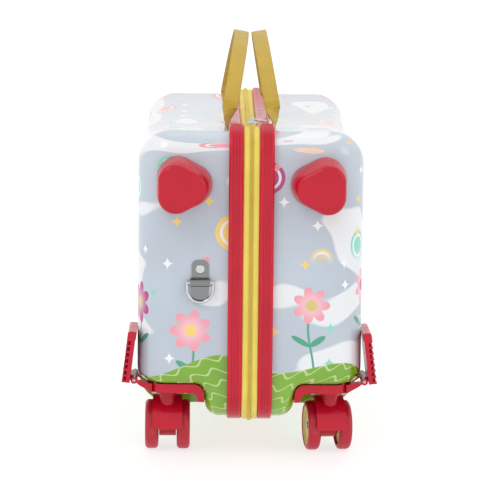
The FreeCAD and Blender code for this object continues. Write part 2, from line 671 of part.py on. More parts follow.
def caster(corner, side, end, inward):
    """A yoke, its axle and a wheel on each side, turned together about their kingpin."""
    askew = "swivel_rest" if corner == "front_right" else "0"
    pin_x = f"{side} * caster_x"
    pin_y = f"{end} + {inward} * caster_inset"

    def put(piece, across, behind, z, half_turn=0):
        place(piece, f"{pin_x} + ({across}) * cos({askew}) - ({behind}) * sin({askew})",
              f"{pin_y} + ({across}) * sin({askew}) + ({behind}) * cos({askew})", z,
              (0, 0, 1), f"{askew} + {half_turn}")

    put(yoke(f"{corner}_yoke"), "0", "0", "0")
    put(axle(f"{corner}_axle"), "0", "trail", "wheel_r")
    for wheel_name, wheel_side in (("outer", side), ("inner", -side)):
        half_turn = 0 if wheel_side > 0 else 180
        for make, kind in ((tyre, "tyre"), (hub, "hub")):
            wheel = make(f"{corner}_{wheel_name}_{kind}")
            put(wheel, f"{wheel_side} * wheel_spread", "trail", "wheel_r", half_turn)


for side_name, side in SIDES:
    for end_name, end, inward in ENDS:
        caster(f"{end_name}_{side_name}", side, end, inward)


# Footrests

def footrest(label, side):
    """A folding plate with a spine and open ribs below its tread, a bumper at its tip and a knuckle."""
    body = new_body(label)
    tread = f"{side} * foot_offset"
    back_face = "(foot_offset + foot_wall + foot_rib)"
    sketch = new_sketch(body, "XZ_Plane")
    rectangle(sketch, tread, "-foot_heel", f"{side} * {back_face}", "foot_height")
    extrude(body, sketch, "foot_length", back=True)
    round_edges(body, "foot_round", edge_at(x=side * number(back_face), z=number("foot_height")))
    sketch = new_sketch(body, "XZ_Plane")
    rectangle(sketch, f"{side} * (foot_offset - foot_tab)", "foot_height - foot_tab_height",
              f"{side} * (foot_offset + foot_tab)", "foot_height")
    extrude(body, sketch, "foot_length", back=True)
    sketch = new_sketch(body, "YZ_Plane", f"{side} * {back_face}")
    pitch = "((foot_height + foot_heel - foot_tab_height - foot_rib_wall) / foot_slots)"
    for slot in range(round(number("foot_slots"))):
        low_z = f"foot_rib_wall - foot_heel + {slot} * {pitch}"
        high_z = f"{slot + 1} * {pitch} - foot_heel"
        rectangle(sketch, "-foot_rib_wall", low_z, "(foot_length - foot_rib_wall) / 2", high_z)
        rectangle(sketch, "(foot_length + foot_rib_wall) / 2", low_z, "foot_length + foot_rib_wall", high_z)
    extrude(body, sketch, "foot_rib", "Pocket", back=side < 0)
    knuckle_start = "(ear_front + ear_width + part_gap)"
    sketch = new_sketch(body, "XZ_Plane", f"-{knuckle_start}")
    circle(sketch, "0", "0", "foot_knuckle_r")
    extrude(body, sketch, f"foot_length - 2 * {knuckle_start}", back=True)
    sketch = new_sketch(body, "XZ_Plane", f"-{knuckle_start}")
    rectangle(sketch, "0", "-foot_heel", f"{side} * (foot_offset + foot_tab)", "foot_knuckle_r")
    extrude(body, sketch, f"foot_length - 2 * {knuckle_start}", back=True)
    sketch = new_sketch(body, "XZ_Plane")
    circle(sketch, "0", "0", "foot_pin_r + run_gap")
    extrude(body, sketch, "foot_length", "Pocket")
    place(body, f"{side} * foot_pin_x", f"{FRONT} + foot_front", "foot_pin_z", turn=f"-{side} * foot_lean")
    return keep(body, label)


for side_name, side in SIDES:
    footrest(f"{side_name}_footrest", side)
    keep(cylinder(f"{side_name}_footrest_pin", "foot_pin_r", "foot_length - 2 * ear_front",
                  (f"{side} * foot_pin_x", f"{FRONT} + foot_front + ear_front", "foot_pin_z"), (0, 1, 0)),
         f"{side_name}_footrest_pin")


# Handles of webbing

RISE = "(handle_height - handle_twist)"
ARCH_R = f"((handle_span ^ 2 / 4 + {RISE} ^ 2) / (2 * {RISE}))"
ARCH_Z = f"(handle_height - {ARCH_R})"
LEG_OUT = "(handle_span / 2)"
LEG_IN = f"sqrt(({ARCH_R} - webbing_wall) ^ 2 - (handle_twist - {ARCH_Z}) ^ 2)"


def arch_section(sketch):
    """The webbing seen edge on: a band between two arcs about one centre, cut level at its feet."""
    centre = FreeCAD.Vector(0, number(ARCH_Z), 0)
    foot = number("handle_twist")
    arcs = []
    for radius in (ARCH_R, f"({ARCH_R} - webbing_wall)"):
        ring = Part.Circle(centre, FreeCAD.Vector(0, 0, 1), number(radius))
        angle = math.asin((foot - centre.y) / number(radius))
        index = sketch.addGeometry(Part.ArcOfCircle(ring, angle, math.pi - angle))
        tie(sketch, "Radius", (index,), radius)
        tie_point(sketch, index, 3, "0", ARCH_Z)
        tie(sketch, "DistanceY", (-1, 1, index, 1), "handle_twist")
        tie(sketch, "DistanceY", (-1, 1, index, 2), "handle_twist")
        arcs.append(index)
    for corner in (1, 2):
        start, end = (sketch.getPoint(index, corner) for index in arcs)
        line = sketch.addGeometry(Part.LineSegment(start, end))
        sketch.addConstraint(Sketcher.Constraint("Coincident", line, 1, arcs[0], corner))
        sketch.addConstraint(Sketcher.Constraint("Coincident", line, 2, arcs[1], corner))


def loft(body, sketches, ruled):
    feature = body.newObject("PartDesign::AdditiveLoft", f"{body.Name}_loft")
    feature.Profile = sketches[0]
    feature.Sections = sketches[1:]
    feature.Ruled = ruled
    doc.recompute()
    return feature


def handle(label, side):
    """A webbing loop: an arch whose legs are folded to half their thickness, edge on, at the hinge line."""
    body = new_body(label)
    sketch = new_sketch(body, "YZ_Plane", "-webbing_width / 2")
    arch_section(sketch)
    extrude(body, sketch, "webbing_width")
    for leg in (-1, 1):
        upper = new_sketch(body, "XY_Plane", "handle_twist")
        rectangle(upper, "-webbing_width / 2", f"{leg} * {LEG_IN}", "webbing_width / 2", f"{leg} * {LEG_OUT}")
        edge_on = ("-webbing_wall / 4", f"{leg} * ({LEG_OUT} - webbing_width / 2)",
                   "webbing_wall / 4", f"{leg} * ({LEG_OUT} + webbing_width / 2)")
        lower = new_sketch(body, "XY_Plane", "foot_neck")
        rectangle(lower, *edge_on)
        loft(body, (upper, lower), True)
        neck = new_sketch(body, "XY_Plane")
        rectangle(neck, *edge_on)
        extrude(body, neck, "foot_neck")
    place(body, f"{side} * handle_x", f"{FRONT} + handle_front + {LEG_OUT}", "handle_z",
          turn=f"-{side} * handle_lean")
    return keep(body, label)


def handle_tabs(label, side, block):
    """The ends of the webbing, sewn edge on between rim and shell, up to the hinge line."""
    boxes = []
    for leg, y in enumerate((f"{FRONT} + handle_front", f"{FRONT} + handle_front + handle_span")):
        box = doc.addObject("Part::Box", f"{label}_{leg}")
        box.setExpression("Length", bound("webbing_wall"))
        box.setExpression("Width", bound("webbing_width"))
        box.setExpression("Height", bound("tab_depth - tab_gap"))
        place(box, f"{side} * handle_x - webbing_wall / 2", f"{y} - webbing_width / 2",
              "handle_z - tab_depth")
        boxes.append(box)
    return keep(combine("Cut", label, (combine("Compound", f"{label}_blank", boxes), block)), label)


for side_name, side in SIDES:
    handle(f"{side_name}_handle", side)
    handle_tabs(f"{side_name}_handle_tabs", side, shell_blocks[side])


# Front grips

def rounded_triangle(sketch, corners, radius):
    """A closed outline of three equal arcs about the corners, in anticlockwise order, and their tangents."""
    normal = FreeCAD.Vector(0, 0, 1)
    size = number(radius)
    centres = [FreeCAD.Vector(number(along), number(up), 0) for along, up in corners]
    sides = [(centres[(index + 1) % 3] - centres[index]).cross(normal).normalize() for index in range(3)]
    turns = [math.atan2(side.y, side.x) for side in sides]
    for index in range(3):
        ahead = (index + 1) % 3
        ring = Part.Circle(centres[index], normal, size)
        sketch.addGeometry(Part.ArcOfCircle(ring, turns[index - 1], turns[index]))
        sketch.addGeometry(Part.LineSegment(
            centres[index] + sides[index] * size, centres[ahead] + sides[index] * size))
    for index, (along, up) in enumerate(corners):
        arc, line, ahead = 2 * index, 2 * index + 1, (2 * index + 2) % 6
        sketch.addConstraint(Sketcher.Constraint("Tangent", arc, 2, line, 1))
        sketch.addConstraint(Sketcher.Constraint("Tangent", line, 2, ahead, 1))
        tie(sketch, "Radius", (arc,), radius)
        tie_point(sketch, arc, 3, along, up)


def grip(label, side, block):
    """A three-cornered knob that swells from the shell and narrows to a rounded end, low and to the side."""
    body = new_body(f"{label}_blank")
    sections = []
    for depth, radius, share in (("grip_seat", "grip_r", 0), ("-grip_reach * 0.55", "grip_mid_r", 0.4),
                                 ("-grip_reach", "grip_end_r", 1)):
        sketch = new_sketch(body, "XZ_Plane", f"-({FRONT} + {depth})")
        along = f"(grip_x + {share} * grip_shift)"
        up = f"(grip_z - {share} * grip_shift)"
        outer = f"{side} * ({along} + grip_outer)"
        corners = [(f"{side} * ({along} - grip_inner)", up), (outer, f"{up} - grip_spread"),
                   (outer, f"{up} + grip_spread")]
        rounded_triangle(sketch, corners[::side], radius)
        sections.append(sketch)
    loft(body, sections, False)
    round_edges(body, "grip_round", edge_at(y=number(f"{FRONT} - grip_reach")))
    return keep(combine("Cut", label, (body, block)), label)


for side_name, side in SIDES:
    grip(f"{side_name}_grip", side, shell_blocks[side])


# Tow clip with its ring, on the left half

CLIP_X = "-clip_x"
RING_Y = f"({FRONT} - clip_bar_out)"


def clip_plate(label):
    """A steel tab on the shell's front with a rolled bar that holds the ring."""
    body = new_body(label)
    sketch = new_sketch(body, "XZ_Plane", f"-{FRONT}")
    left = f"{CLIP_X} - clip_width / 2"
    right = f"{CLIP_X} + clip_width / 2"
    top = "clip_low + clip_height"
    rectangle(sketch, left, "clip_low", right, top)
    extrude(body, sketch, "clip_wall")
    corners = [edge_at(x=number(x), z=number(z)) for x in (left, right) for z in ("clip_low", top)]
    round_edges(body, "clip_round", lambda edge: any(corner(edge) for corner in corners))
    bar_start = f"{CLIP_X} - clip_bar_length / 2"
    sketch = new_sketch(body, "YZ_Plane", bar_start)
    circle(sketch, RING_Y, "clip_bar_z", "clip_bar_r")
    extrude(body, sketch, "clip_bar_length")
    sketch = new_sketch(body, "YZ_Plane", bar_start)
    circle(sketch, RING_Y, "clip_bar_z", "ring_wire_r + run_gap")
    extrude(body, sketch, "clip_bar_length", "Pocket", back=True)
    return keep(body, label)


def clip_rivet(label):
    """A low domed rivet head on the clip plate."""
    body = new_body(label)
    sketch = new_sketch(body, "XZ_Plane", f"-({FRONT} - clip_wall)")
    circle(sketch, CLIP_X, "rivet_z", "rivet_r")
    extrude(body, sketch, "rivet_head")
    round_edges(body, "rivet_head * 0.6", edge_at(y=number(f"{FRONT} - clip_wall - rivet_head")))
    return keep(body, label)


def tow_ring(label):
    """A bent wire ring: a straight bar, two short sides and half a hoop below."""
    low = "clip_bar_z - ring_drop"
    pieces = [cylinder(f"{label}_bar", "ring_wire_r", "2 * ring_half",
                       (f"{CLIP_X} - ring_half", RING_Y, "clip_bar_z"), (1, 0, 0))]
    for side in (-1, 1):
        x = f"{CLIP_X} + {side} * ring_half"
        pieces.append(cylinder(f"{label}_side", "ring_wire_r", "ring_drop", (x, RING_Y, low), (0, 0, 1)))
        ball = doc.addObject("Part::Sphere", f"{label}_bend")
        ball.setExpression("Radius", bound("ring_wire_r"))
        place(ball, x, RING_Y, "clip_bar_z")
        pieces.append(ball)
    hoop = doc.addObject("Part::Torus", f"{label}_hoop")
    hoop.setExpression("Radius1", bound("ring_half"))
    hoop.setExpression("Radius2", bound("ring_wire_r"))
    hoop.Angle3 = 180
    place(hoop, CLIP_X, RING_Y, low, (1, 0, 0), "-90")
    pieces.append(hoop)
    return keep(combine("MultiFuse", label, pieces), label)


clip_plate("clip_plate")
clip_rivet("clip_rivet")
tow_ring("tow_ring")


# Zip slider and pull, where the front corner meets the saddle

CORNER_Y, CORNER_Z = top_corner(FRONT, 1)
SLOPE = f"((saddle_y - {CORNER_Y}) / (saddle_r + top_r))"
slider_tilt = FreeCAD.Rotation(FreeCAD.Vector(1, 0, 0), -math.degrees(math.asin(number(SLOPE))))


def put_on_zip(piece, height, rotation):
    """Stands a piece on the coil, square to the zip."""
    reach = f"(top_r + coil_proud + {height})"
    piece.Placement = FreeCAD.Placement(FreeCAD.Vector(), rotation)
    piece.setExpression("Placement.Base.y", bound(f"{CORNER_Y} + {reach} * {SLOPE}"))
    piece.setExpression("Placement.Base.z", bound(f"{CORNER_Z} + {reach} * sqrt(1 - {SLOPE} ^ 2)"))


def zip_slider(label):
    """The slider's body, with a bridge that holds the pull."""
    body = new_body(label)
    sketch = new_sketch(body, "XY_Plane", "part_gap")
    rectangle(sketch, "-slider_width / 2", "-slider_length / 2", "slider_width / 2", "slider_length / 2")
    extrude(body, sketch, "slider_wall")
    corner_x = number("slider_width / 2")
    left_side = edge_at(x=-corner_x, z=number("part_gap + slider_wall"))
    right_side = edge_at(x=corner_x, z=number("part_gap + slider_wall"))
    round_edges(body, "slider_wall / 2", lambda edge: left_side(edge) or right_side(edge))
    sketch = new_sketch(body, "XZ_Plane", "-bridge_length / 2")
    circle(sketch, "0", "bridge_z", "bridge_r")
    extrude(body, sketch, "bridge_length")
    for end in (-1, 1):
        sketch = new_sketch(body, "XY_Plane", "part_gap")
        outer = f"{end} * bridge_length / 2"
        rectangle(sketch, "-bridge_r", f"{outer} - {end} * 2 * bridge_r", "bridge_r", outer)
        extrude(body, sketch, "bridge_z - part_gap")
    put_on_zip(body, "0", slider_tilt)
    return keep(body, label)


def zip_pull(label):
    """The pull: an eye on the bridge and a rod that lies across the rim."""
    body = new_body(label)
    sketch = new_sketch(body, "XZ_Plane", "-pull_eye / 2")
    circle(sketch, "0", "0", "pull_eye_r")
    extrude(body, sketch, "pull_eye")
    sketch = new_sketch(body, "YZ_Plane")
    circle(sketch, "0", "0", "pull_r")
    extrude(body, sketch, "pull_length")
    round_edges(body, "pull_r * 0.8", edge_at(x=number("pull_length")))
    sketch = new_sketch(body, "XZ_Plane", "pull_eye")
    circle(sketch, "0", "0", "bridge_r + run_gap")
    extrude(body, sketch, "2 * pull_eye", "Pocket")
    dip = FreeCAD.Rotation(FreeCAD.Vector(0, 1, 0), number("pull_dip"))
    put_on_zip(body, "bridge_z", slider_tilt.multiply(dip))
    return keep(body, label)


zip_slider("zip_slider")
zip_pull("zip_pull")

doc.recompute()


def check(pieces):
    """Stops if an object failed or a sub-part's solid is missing or broken."""
    for item in doc.Objects:
        if "Invalid" in item.State or "Error" in item.State:
            raise RuntimeError(f"{item.Name} failed: {item.State}")
    for piece in pieces:
        if piece.Shape.isNull() or not piece.Shape.isValid():
            raise RuntimeError(f"{piece.Label} has no valid shape")


check(subparts)
for piece in subparts:
    piece.Shape.exportStep(f"parts/{piece.Label}.step")
    print(piece.Label, len(piece.Shape.Solids), round(piece.Shape.Volume / 1000, 2), "cm3")
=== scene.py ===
"""Looks of the ride-on suitcase: materials, webbing, zip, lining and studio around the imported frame.

Metres, +Z up, the grips face -Y, the zip lies in the plane x = 0 and the floor is z = 0.
"""
import math

import bpy
import numpy as np
from bpy.props import FloatProperty, FloatVectorProperty, PointerProperty
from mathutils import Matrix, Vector


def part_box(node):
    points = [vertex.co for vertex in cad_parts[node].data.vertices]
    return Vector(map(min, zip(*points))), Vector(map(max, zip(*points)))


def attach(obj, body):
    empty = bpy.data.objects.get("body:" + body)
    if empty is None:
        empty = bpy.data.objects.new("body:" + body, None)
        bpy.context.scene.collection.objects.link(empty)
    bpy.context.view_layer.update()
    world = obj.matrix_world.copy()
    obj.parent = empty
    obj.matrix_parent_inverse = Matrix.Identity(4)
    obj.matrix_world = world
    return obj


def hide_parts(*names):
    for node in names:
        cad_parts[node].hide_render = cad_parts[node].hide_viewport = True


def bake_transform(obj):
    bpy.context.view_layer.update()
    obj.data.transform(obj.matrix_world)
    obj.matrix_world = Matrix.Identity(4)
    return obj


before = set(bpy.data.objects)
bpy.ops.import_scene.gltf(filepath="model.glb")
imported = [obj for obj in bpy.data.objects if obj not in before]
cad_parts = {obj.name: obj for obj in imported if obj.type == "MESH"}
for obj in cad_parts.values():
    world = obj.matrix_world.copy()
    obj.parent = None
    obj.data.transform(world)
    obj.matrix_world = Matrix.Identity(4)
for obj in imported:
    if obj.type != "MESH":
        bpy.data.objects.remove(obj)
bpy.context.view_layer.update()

bl_info = {
    "name": "Ride-on suitcase",
    "version": (1, 0, 0),
    "blender": (4, 5, 0),
    "location": "3D View > Sidebar > Suitcase",
    "description": "Dresses the packed frame of a child's ride-on suitcase",
    "category": "Object",
}

SIDES = (("left", -1), ("right", 1))
ENDS = ("front", "rear")


# Sizes and colours

def length(name, default, description):
    """A size in metres."""
    return FloatProperty(name=name, description=description, default=default, unit="LENGTH", precision=4)


def colour(name, default, description):
    """A linear colour."""
    return FloatVectorProperty(name=name, description=description, default=default, size=3, min=0, max=1,
                               subtype="COLOR")


class SuitcaseSizes(bpy.types.PropertyGroup):
    """Sizes of the case that the new pieces follow."""
    front_y: length("Front", -0.2075, "Front face of the shells")
    rear_y: length("Rear", 0.2325, "Rear face of the shells")
    keel_z: length("Keel", 0.038, "Underside of the shells")
    saddle_y: length("Saddle place", -0.012, "Place of the saddle's lowest point")
    saddle_z: length("Saddle", 0.316, "Lowest point of the saddle")
    saddle_r: length("Saddle radius", 1.239, "Hollow of the saddle, seen from the side")
    top_r: length("Top corners", 0.022, "Corners at the ends of the saddle")
    bottom_r: length("Keel corners", 0.036, "Corners at the ends of the keel")
    half_width: length("Half width", 0.1125, "Zip plane to a flat side")
    edge_r: length("Side edges", 0.032, "Rounding from a flat side to the ends and top")
    well_wall: length("Well wall", 0.0422, "Zip plane to the lining over a wheel well's inner wall")
    well_round: length("Well edge", 0.0122, "Rounding of the lining into a wheel well's inner wall")
    zip_half: length("Zip tape", 0.008, "Zip plane to the rim")
    rim_width: length("Rim", 0.0145, "Rim strip beside the zip")
    rim_groove: length("Rim groove", 0.0009, "Width of a groove in the rim")
    tape_proud: length("Tape height", 0.0045, "Zip tape above the shells")
    tape_keel: length("Tape at the keel", 0.003, "Zip tape below the shells")
    coil_proud: length("Coil height", 0.0063, "Top of the zip's coil above the shells")
    coil_pitch: length("Coil pitch", 0.0016, "Distance between two loops of the coil")
    coil_wire: length("Coil wire", 0.00034, "Radius of the coil's wire")
    webbing_width: length("Webbing", 0.0155, "Width of the handles' webbing")
    webbing_wall: length("Webbing thickness", 0.0018, "Thickness of the handles' webbing")
    handle_x: length("Handle foot", 0.0237, "Zip plane to a handle's hinge line")
    handle_y: length("Handle middle", -0.0355, "Middle of the handles along the case")
    handle_z: length("Handle hinge", 0.335, "Hinge line of the handles")
    handle_span: length("Handle span", 0.22, "Handle from leg to leg")
    handle_height: length("Handle height", 0.086, "Handle above its hinge line")
    handle_twist: length("Handle leg", 0.019, "Straight leg of a handle above its hinge line")
    handle_fold: length("Handle fold", 0.0125, "Top of a handle's folded foot above its hinge line")
    handle_tip: length("Handle tip", -0.008, "End of that fold, below the hinge line")
    handle_lean: FloatProperty(name="Handle lean", description="Lean of each handle to the other",
                               default=math.radians(9.9), subtype="ANGLE")


class SuitcaseColours(bpy.types.PropertyGroup):
    """Colours of the case, linear."""
    ground: colour("Ground", (0.445, 0.505, 0.575), "Pale ground of the printed shells")
    white: colour("White", (0.80, 0.81, 0.82), "Clouds and borders in the print")
    grass: colour("Grass", (0.17, 0.38, 0.008), "Hills along the keel")
    pink: colour("Pink", (0.80, 0.30, 0.38), "Pink motifs")
    yellow: colour("Yellow", (0.83, 0.58, 0.14), "Yellow motifs and zip")
    mint: colour("Mint", (0.24, 0.62, 0.50), "Mint motifs")
    peach: colour("Peach", (0.82, 0.42, 0.22), "Peach motifs")
    red: colour("Red", (0.48, 0.004, 0.022), "Rims, grips, footrests and yokes")
    tread: colour("Tread", (0.44, 0.004, 0.020), "Wheel treads")
    webbing: colour("Webbing", (0.56, 0.375, 0.05), "Handle webbing")
    tape: colour("Tape", (0.80, 0.64, 0.115), "Zip tape")
    coil: colour("Coil", (0.80, 0.62, 0.115), "Zip coil")
    berry: colour("Berry", (0.42, 0.02, 0.20), "Dark motifs")
    leaf: colour("Leaf", (0.05, 0.32, 0.20), "Stems and leaves")
    cream: colour("Cream", (0.62, 0.50, 0.16), "Wheel hubs")
    lining: colour("Lining", (0.34, 0.37, 0.42), "Fabric lining")


# Meshes from numpy grids

def grid_mesh(name, points, along=False, around=False, uv=None):
    """A mesh over grids of points: patch, row, column, place.

    Row and column are a surface's two parameters.  Along joins the last row to the first, around the last
    column to the first, and uv gives the same grids in metres.
    """
    patches, rows, columns = points.shape[:3]
    index = np.arange(patches * rows * columns).reshape(patches, rows, columns)
    if along:
        index = np.concatenate([index, index[:, :1]], axis=1)
    if around:
        index = np.concatenate([index, index[:, :, :1]], axis=2)

    def corners(grid):
        return np.stack([grid[:, :-1, :-1], grid[:, 1:, :-1], grid[:, 1:, 1:], grid[:, :-1, 1:]], axis=3)

    quads = corners(index)
    mesh = bpy.data.meshes.new(name)
    mesh.vertices.add(patches * rows * columns)
    mesh.vertices.foreach_set("co", points.reshape(-1).astype(np.float32))
    mesh.loops.add(quads.size)
    mesh.loops.foreach_set("vertex_index", quads.reshape(-1).astype(np.int32))
    mesh.polygons.add(quads.size // 4)
    mesh.polygons.foreach_set("loop_start", np.arange(0, quads.size, 4, dtype=np.int32))
    mesh.polygons.foreach_set("use_smooth", np.ones(quads.size // 4, dtype=bool))
    mesh.update(calc_edges=True)
    if uv is not None:
        if along:
            uv = np.concatenate([uv, 2 * uv[:, -1:] - uv[:, -2:-1]], axis=1)
        if around:
            uv = np.concatenate([uv, 2 * uv[:, :, -1:] - uv[:, :, -2:-1]], axis=2)
        layer = mesh.uv_layers.new(name="metres")
        layer.data.foreach_set("uv", np.stack([corners(uv[..., 0]), corners(uv[..., 1])],
                                              axis=-1).reshape(-1).astype(np.float32))
    return mesh


def new_piece(name, mesh, body, material, slot, *nodes):
    """An object that rides on a body and stands for the named nodes."""
    piece = bpy.data.objects.new(name, mesh)
    bpy.context.scene.collection.objects.link(piece)
    mesh.materials.append(material)
    if body:
        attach(piece, body)
    if nodes:
        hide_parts(*nodes)
    return piece


def dress(material, *nodes):
    """Gives CAD nodes a material."""
    for node in nodes:
        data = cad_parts[node].data
        data.materials.clear()
        data.materials.append(material)


def outline(grow, keel_grow):
    """The case seen from the side, grown outwards, as a closed row of (y, z) points.

    Straight ends and keel, arcs at the four corners, and the saddle's hollow arc tangent to the top ones.
    Every growth has the same number of points on each stretch, so rows of different growths match.
    """
    sizes = bpy.context.scene.suitcase_sizes
    centre = np.array([sizes.saddle_y, sizes.saddle_z + sizes.saddle_r])
    reach = sizes.saddle_r + sizes.top_r

    def corner(y):
        return np.array([y, centre[1] - math.sqrt(reach ** 2 - (y - centre[0]) ** 2)])

    def arc(middle, radius, start, end, count):
        angle = np.linspace(start, end, count, endpoint=False)
        return middle + radius * np.stack([np.cos(angle), np.sin(angle)], axis=1)

    def line(start, end, count):
        share = np.linspace(0, 1, count, endpoint=False)[:, None]
        return np.array(start) * (1 - share) + np.array(end) * share

    front_top = corner(sizes.front_y + sizes.top_r)
    rear_top = corner(sizes.rear_y - sizes.top_r)
    lean_front, lean_rear = (math.atan2(*(centre - top)[::-1]) for top in (front_top, rear_top))
    front = sizes.front_y - grow
    rear = sizes.rear_y + grow
    low = sizes.keel_z - keel_grow
    foot_r = sizes.bottom_r + grow
    quarter = math.pi / 2
    end_steps, corner_steps, saddle_steps, keel_steps = 48, 20, 90, 80
    return np.concatenate([
        line((front, low + foot_r), (front, front_top[1]), end_steps),
        arc(front_top, sizes.top_r + grow, math.pi, lean_front, corner_steps),
        arc(centre, sizes.saddle_r - grow, lean_front - math.pi, lean_rear - math.pi, saddle_steps),
        arc(rear_top, sizes.top_r + grow, lean_rear, 0, corner_steps),
        line((rear, rear_top[1]), (rear, low + foot_r), end_steps),
        arc(np.array([rear - foot_r, low + foot_r]), foot_r, 0, -quarter, corner_steps),
        line((rear - foot_r, low), (front + foot_r, low), keel_steps),
        arc(np.array([front + foot_r, low + foot_r]), foot_r, -quarter, -math.pi, corner_steps)])


def run_of(row):
    """Distance along a closed row of points, one value for each point, and the whole length."""
    step = np.linalg.norm(np.roll(row, -1, axis=0) - row, axis=1)
    return np.concatenate([[0], np.cumsum(step)[:-1]]), step.sum()


def ring(section):
    """A surface round the case: its outline at each point of the section.

    A point is a distance from the zip plane, the outline's growth there and its growth at the keel.
    """
    rows = []
    for x, grow, keel_grow in section:
        row = outline(grow, keel_grow)
        rows.append(np.column_stack([np.full(len(row), x), row]))
    return np.stack(rows, axis=1)


def sweep(path, across, section):
    """A surface along a path: each section point is a distance across it and a distance out of its face.

    The face's normal is the path's tangent crossed with the direction across.
    """
    tangent = np.gradient(path, axis=0)
    tangent /= np.linalg.norm(tangent, axis=1, keepdims=True)
    out = np.cross(tangent, across)
    out /= np.linalg.norm(out, axis=1, keepdims=True)
    return path[:, None] + section[None, :, :1] * across[:, None] + section[None, :, 1:] * out[:, None]


def flat_section(width, wall, count=36):
    """The closed section of a flat strap: a superellipse, so its faces are flat and its edges rounded."""
    across_power, out_power = 0.35, 0.45
    angle = np.linspace(0, 2 * math.pi, count, endpoint=False)
    cosine, sine = np.cos(angle), np.sin(angle)
    across = np.sign(cosine) * np.abs(cosine) ** across_power * width / 2
    out = np.sign(sine) * np.abs(sine) ** out_power * wall / 2
    return np.column_stack([across, out])


def strap_uv(points, section):
    """Metres across and along a strap, for its weave."""
    middle = points.mean(axis=1)
    step = np.linalg.norm(np.diff(middle, axis=0), axis=1)
    along = np.concatenate([[0], np.cumsum(step)])
    return np.stack(np.broadcast_arrays(section[None, :, 0], along[:, None]), axis=-1)


def tube(path, radius, count=6):
    """A round wire along a closed path: a circle carried square to it."""
    nearly_across = 0.8
    tangent = np.roll(path, -1, axis=0) - np.roll(path, 1, axis=0)
    tangent /= np.linalg.norm(tangent, axis=1, keepdims=True)
    side = np.cross(tangent, np.where(np.abs(tangent[:, :1]) < nearly_across, [[1.0, 0, 0]], [[0, 1.0, 0]]))
    side /= np.linalg.norm(side, axis=1, keepdims=True)
    up = np.cross(tangent, side)
    angle = np.linspace(0, 2 * math.pi, count, endpoint=False)
    return (path[:, None] + radius * (np.cos(angle)[None, :, None] * side[:, None]
                                      + np.sin(angle)[None, :, None] * up[:, None]))


def stitches(starts, ends, faces, radius):
    """Sewn thread: one bead from each start to its end, on the cloth's face.

    A bead is a circle carried along its run, whose radius follows a half ellipse.
    """
    steps, sides, least = 9, 8, 0.02
    share = np.linspace(0, 1, steps)
    lift = np.sqrt(np.clip(1 - (2 * share - 1) ** 2, least, 1))
    angle = np.linspace(0, 2 * math.pi, sides, endpoint=False)
    run = ends - starts
    run_unit = run / np.linalg.norm(run, axis=1, keepdims=True)
    side = np.cross(run_unit, faces)
    middle = starts[:, None] + run[:, None] * share[None, :, None]
    ring_y = radius * lift[None, :, None] * np.cos(angle)[None, None, :]
    ring_z = radius * lift[None, :, None] * np.sin(angle)[None, None, :]
    return (middle[:, :, None] + ring_y[..., None] * side[:, None, None]
            + ring_z[..., None] * faces[:, None, None])


# Materials: noise scales are features to a metre, and heights are in metres

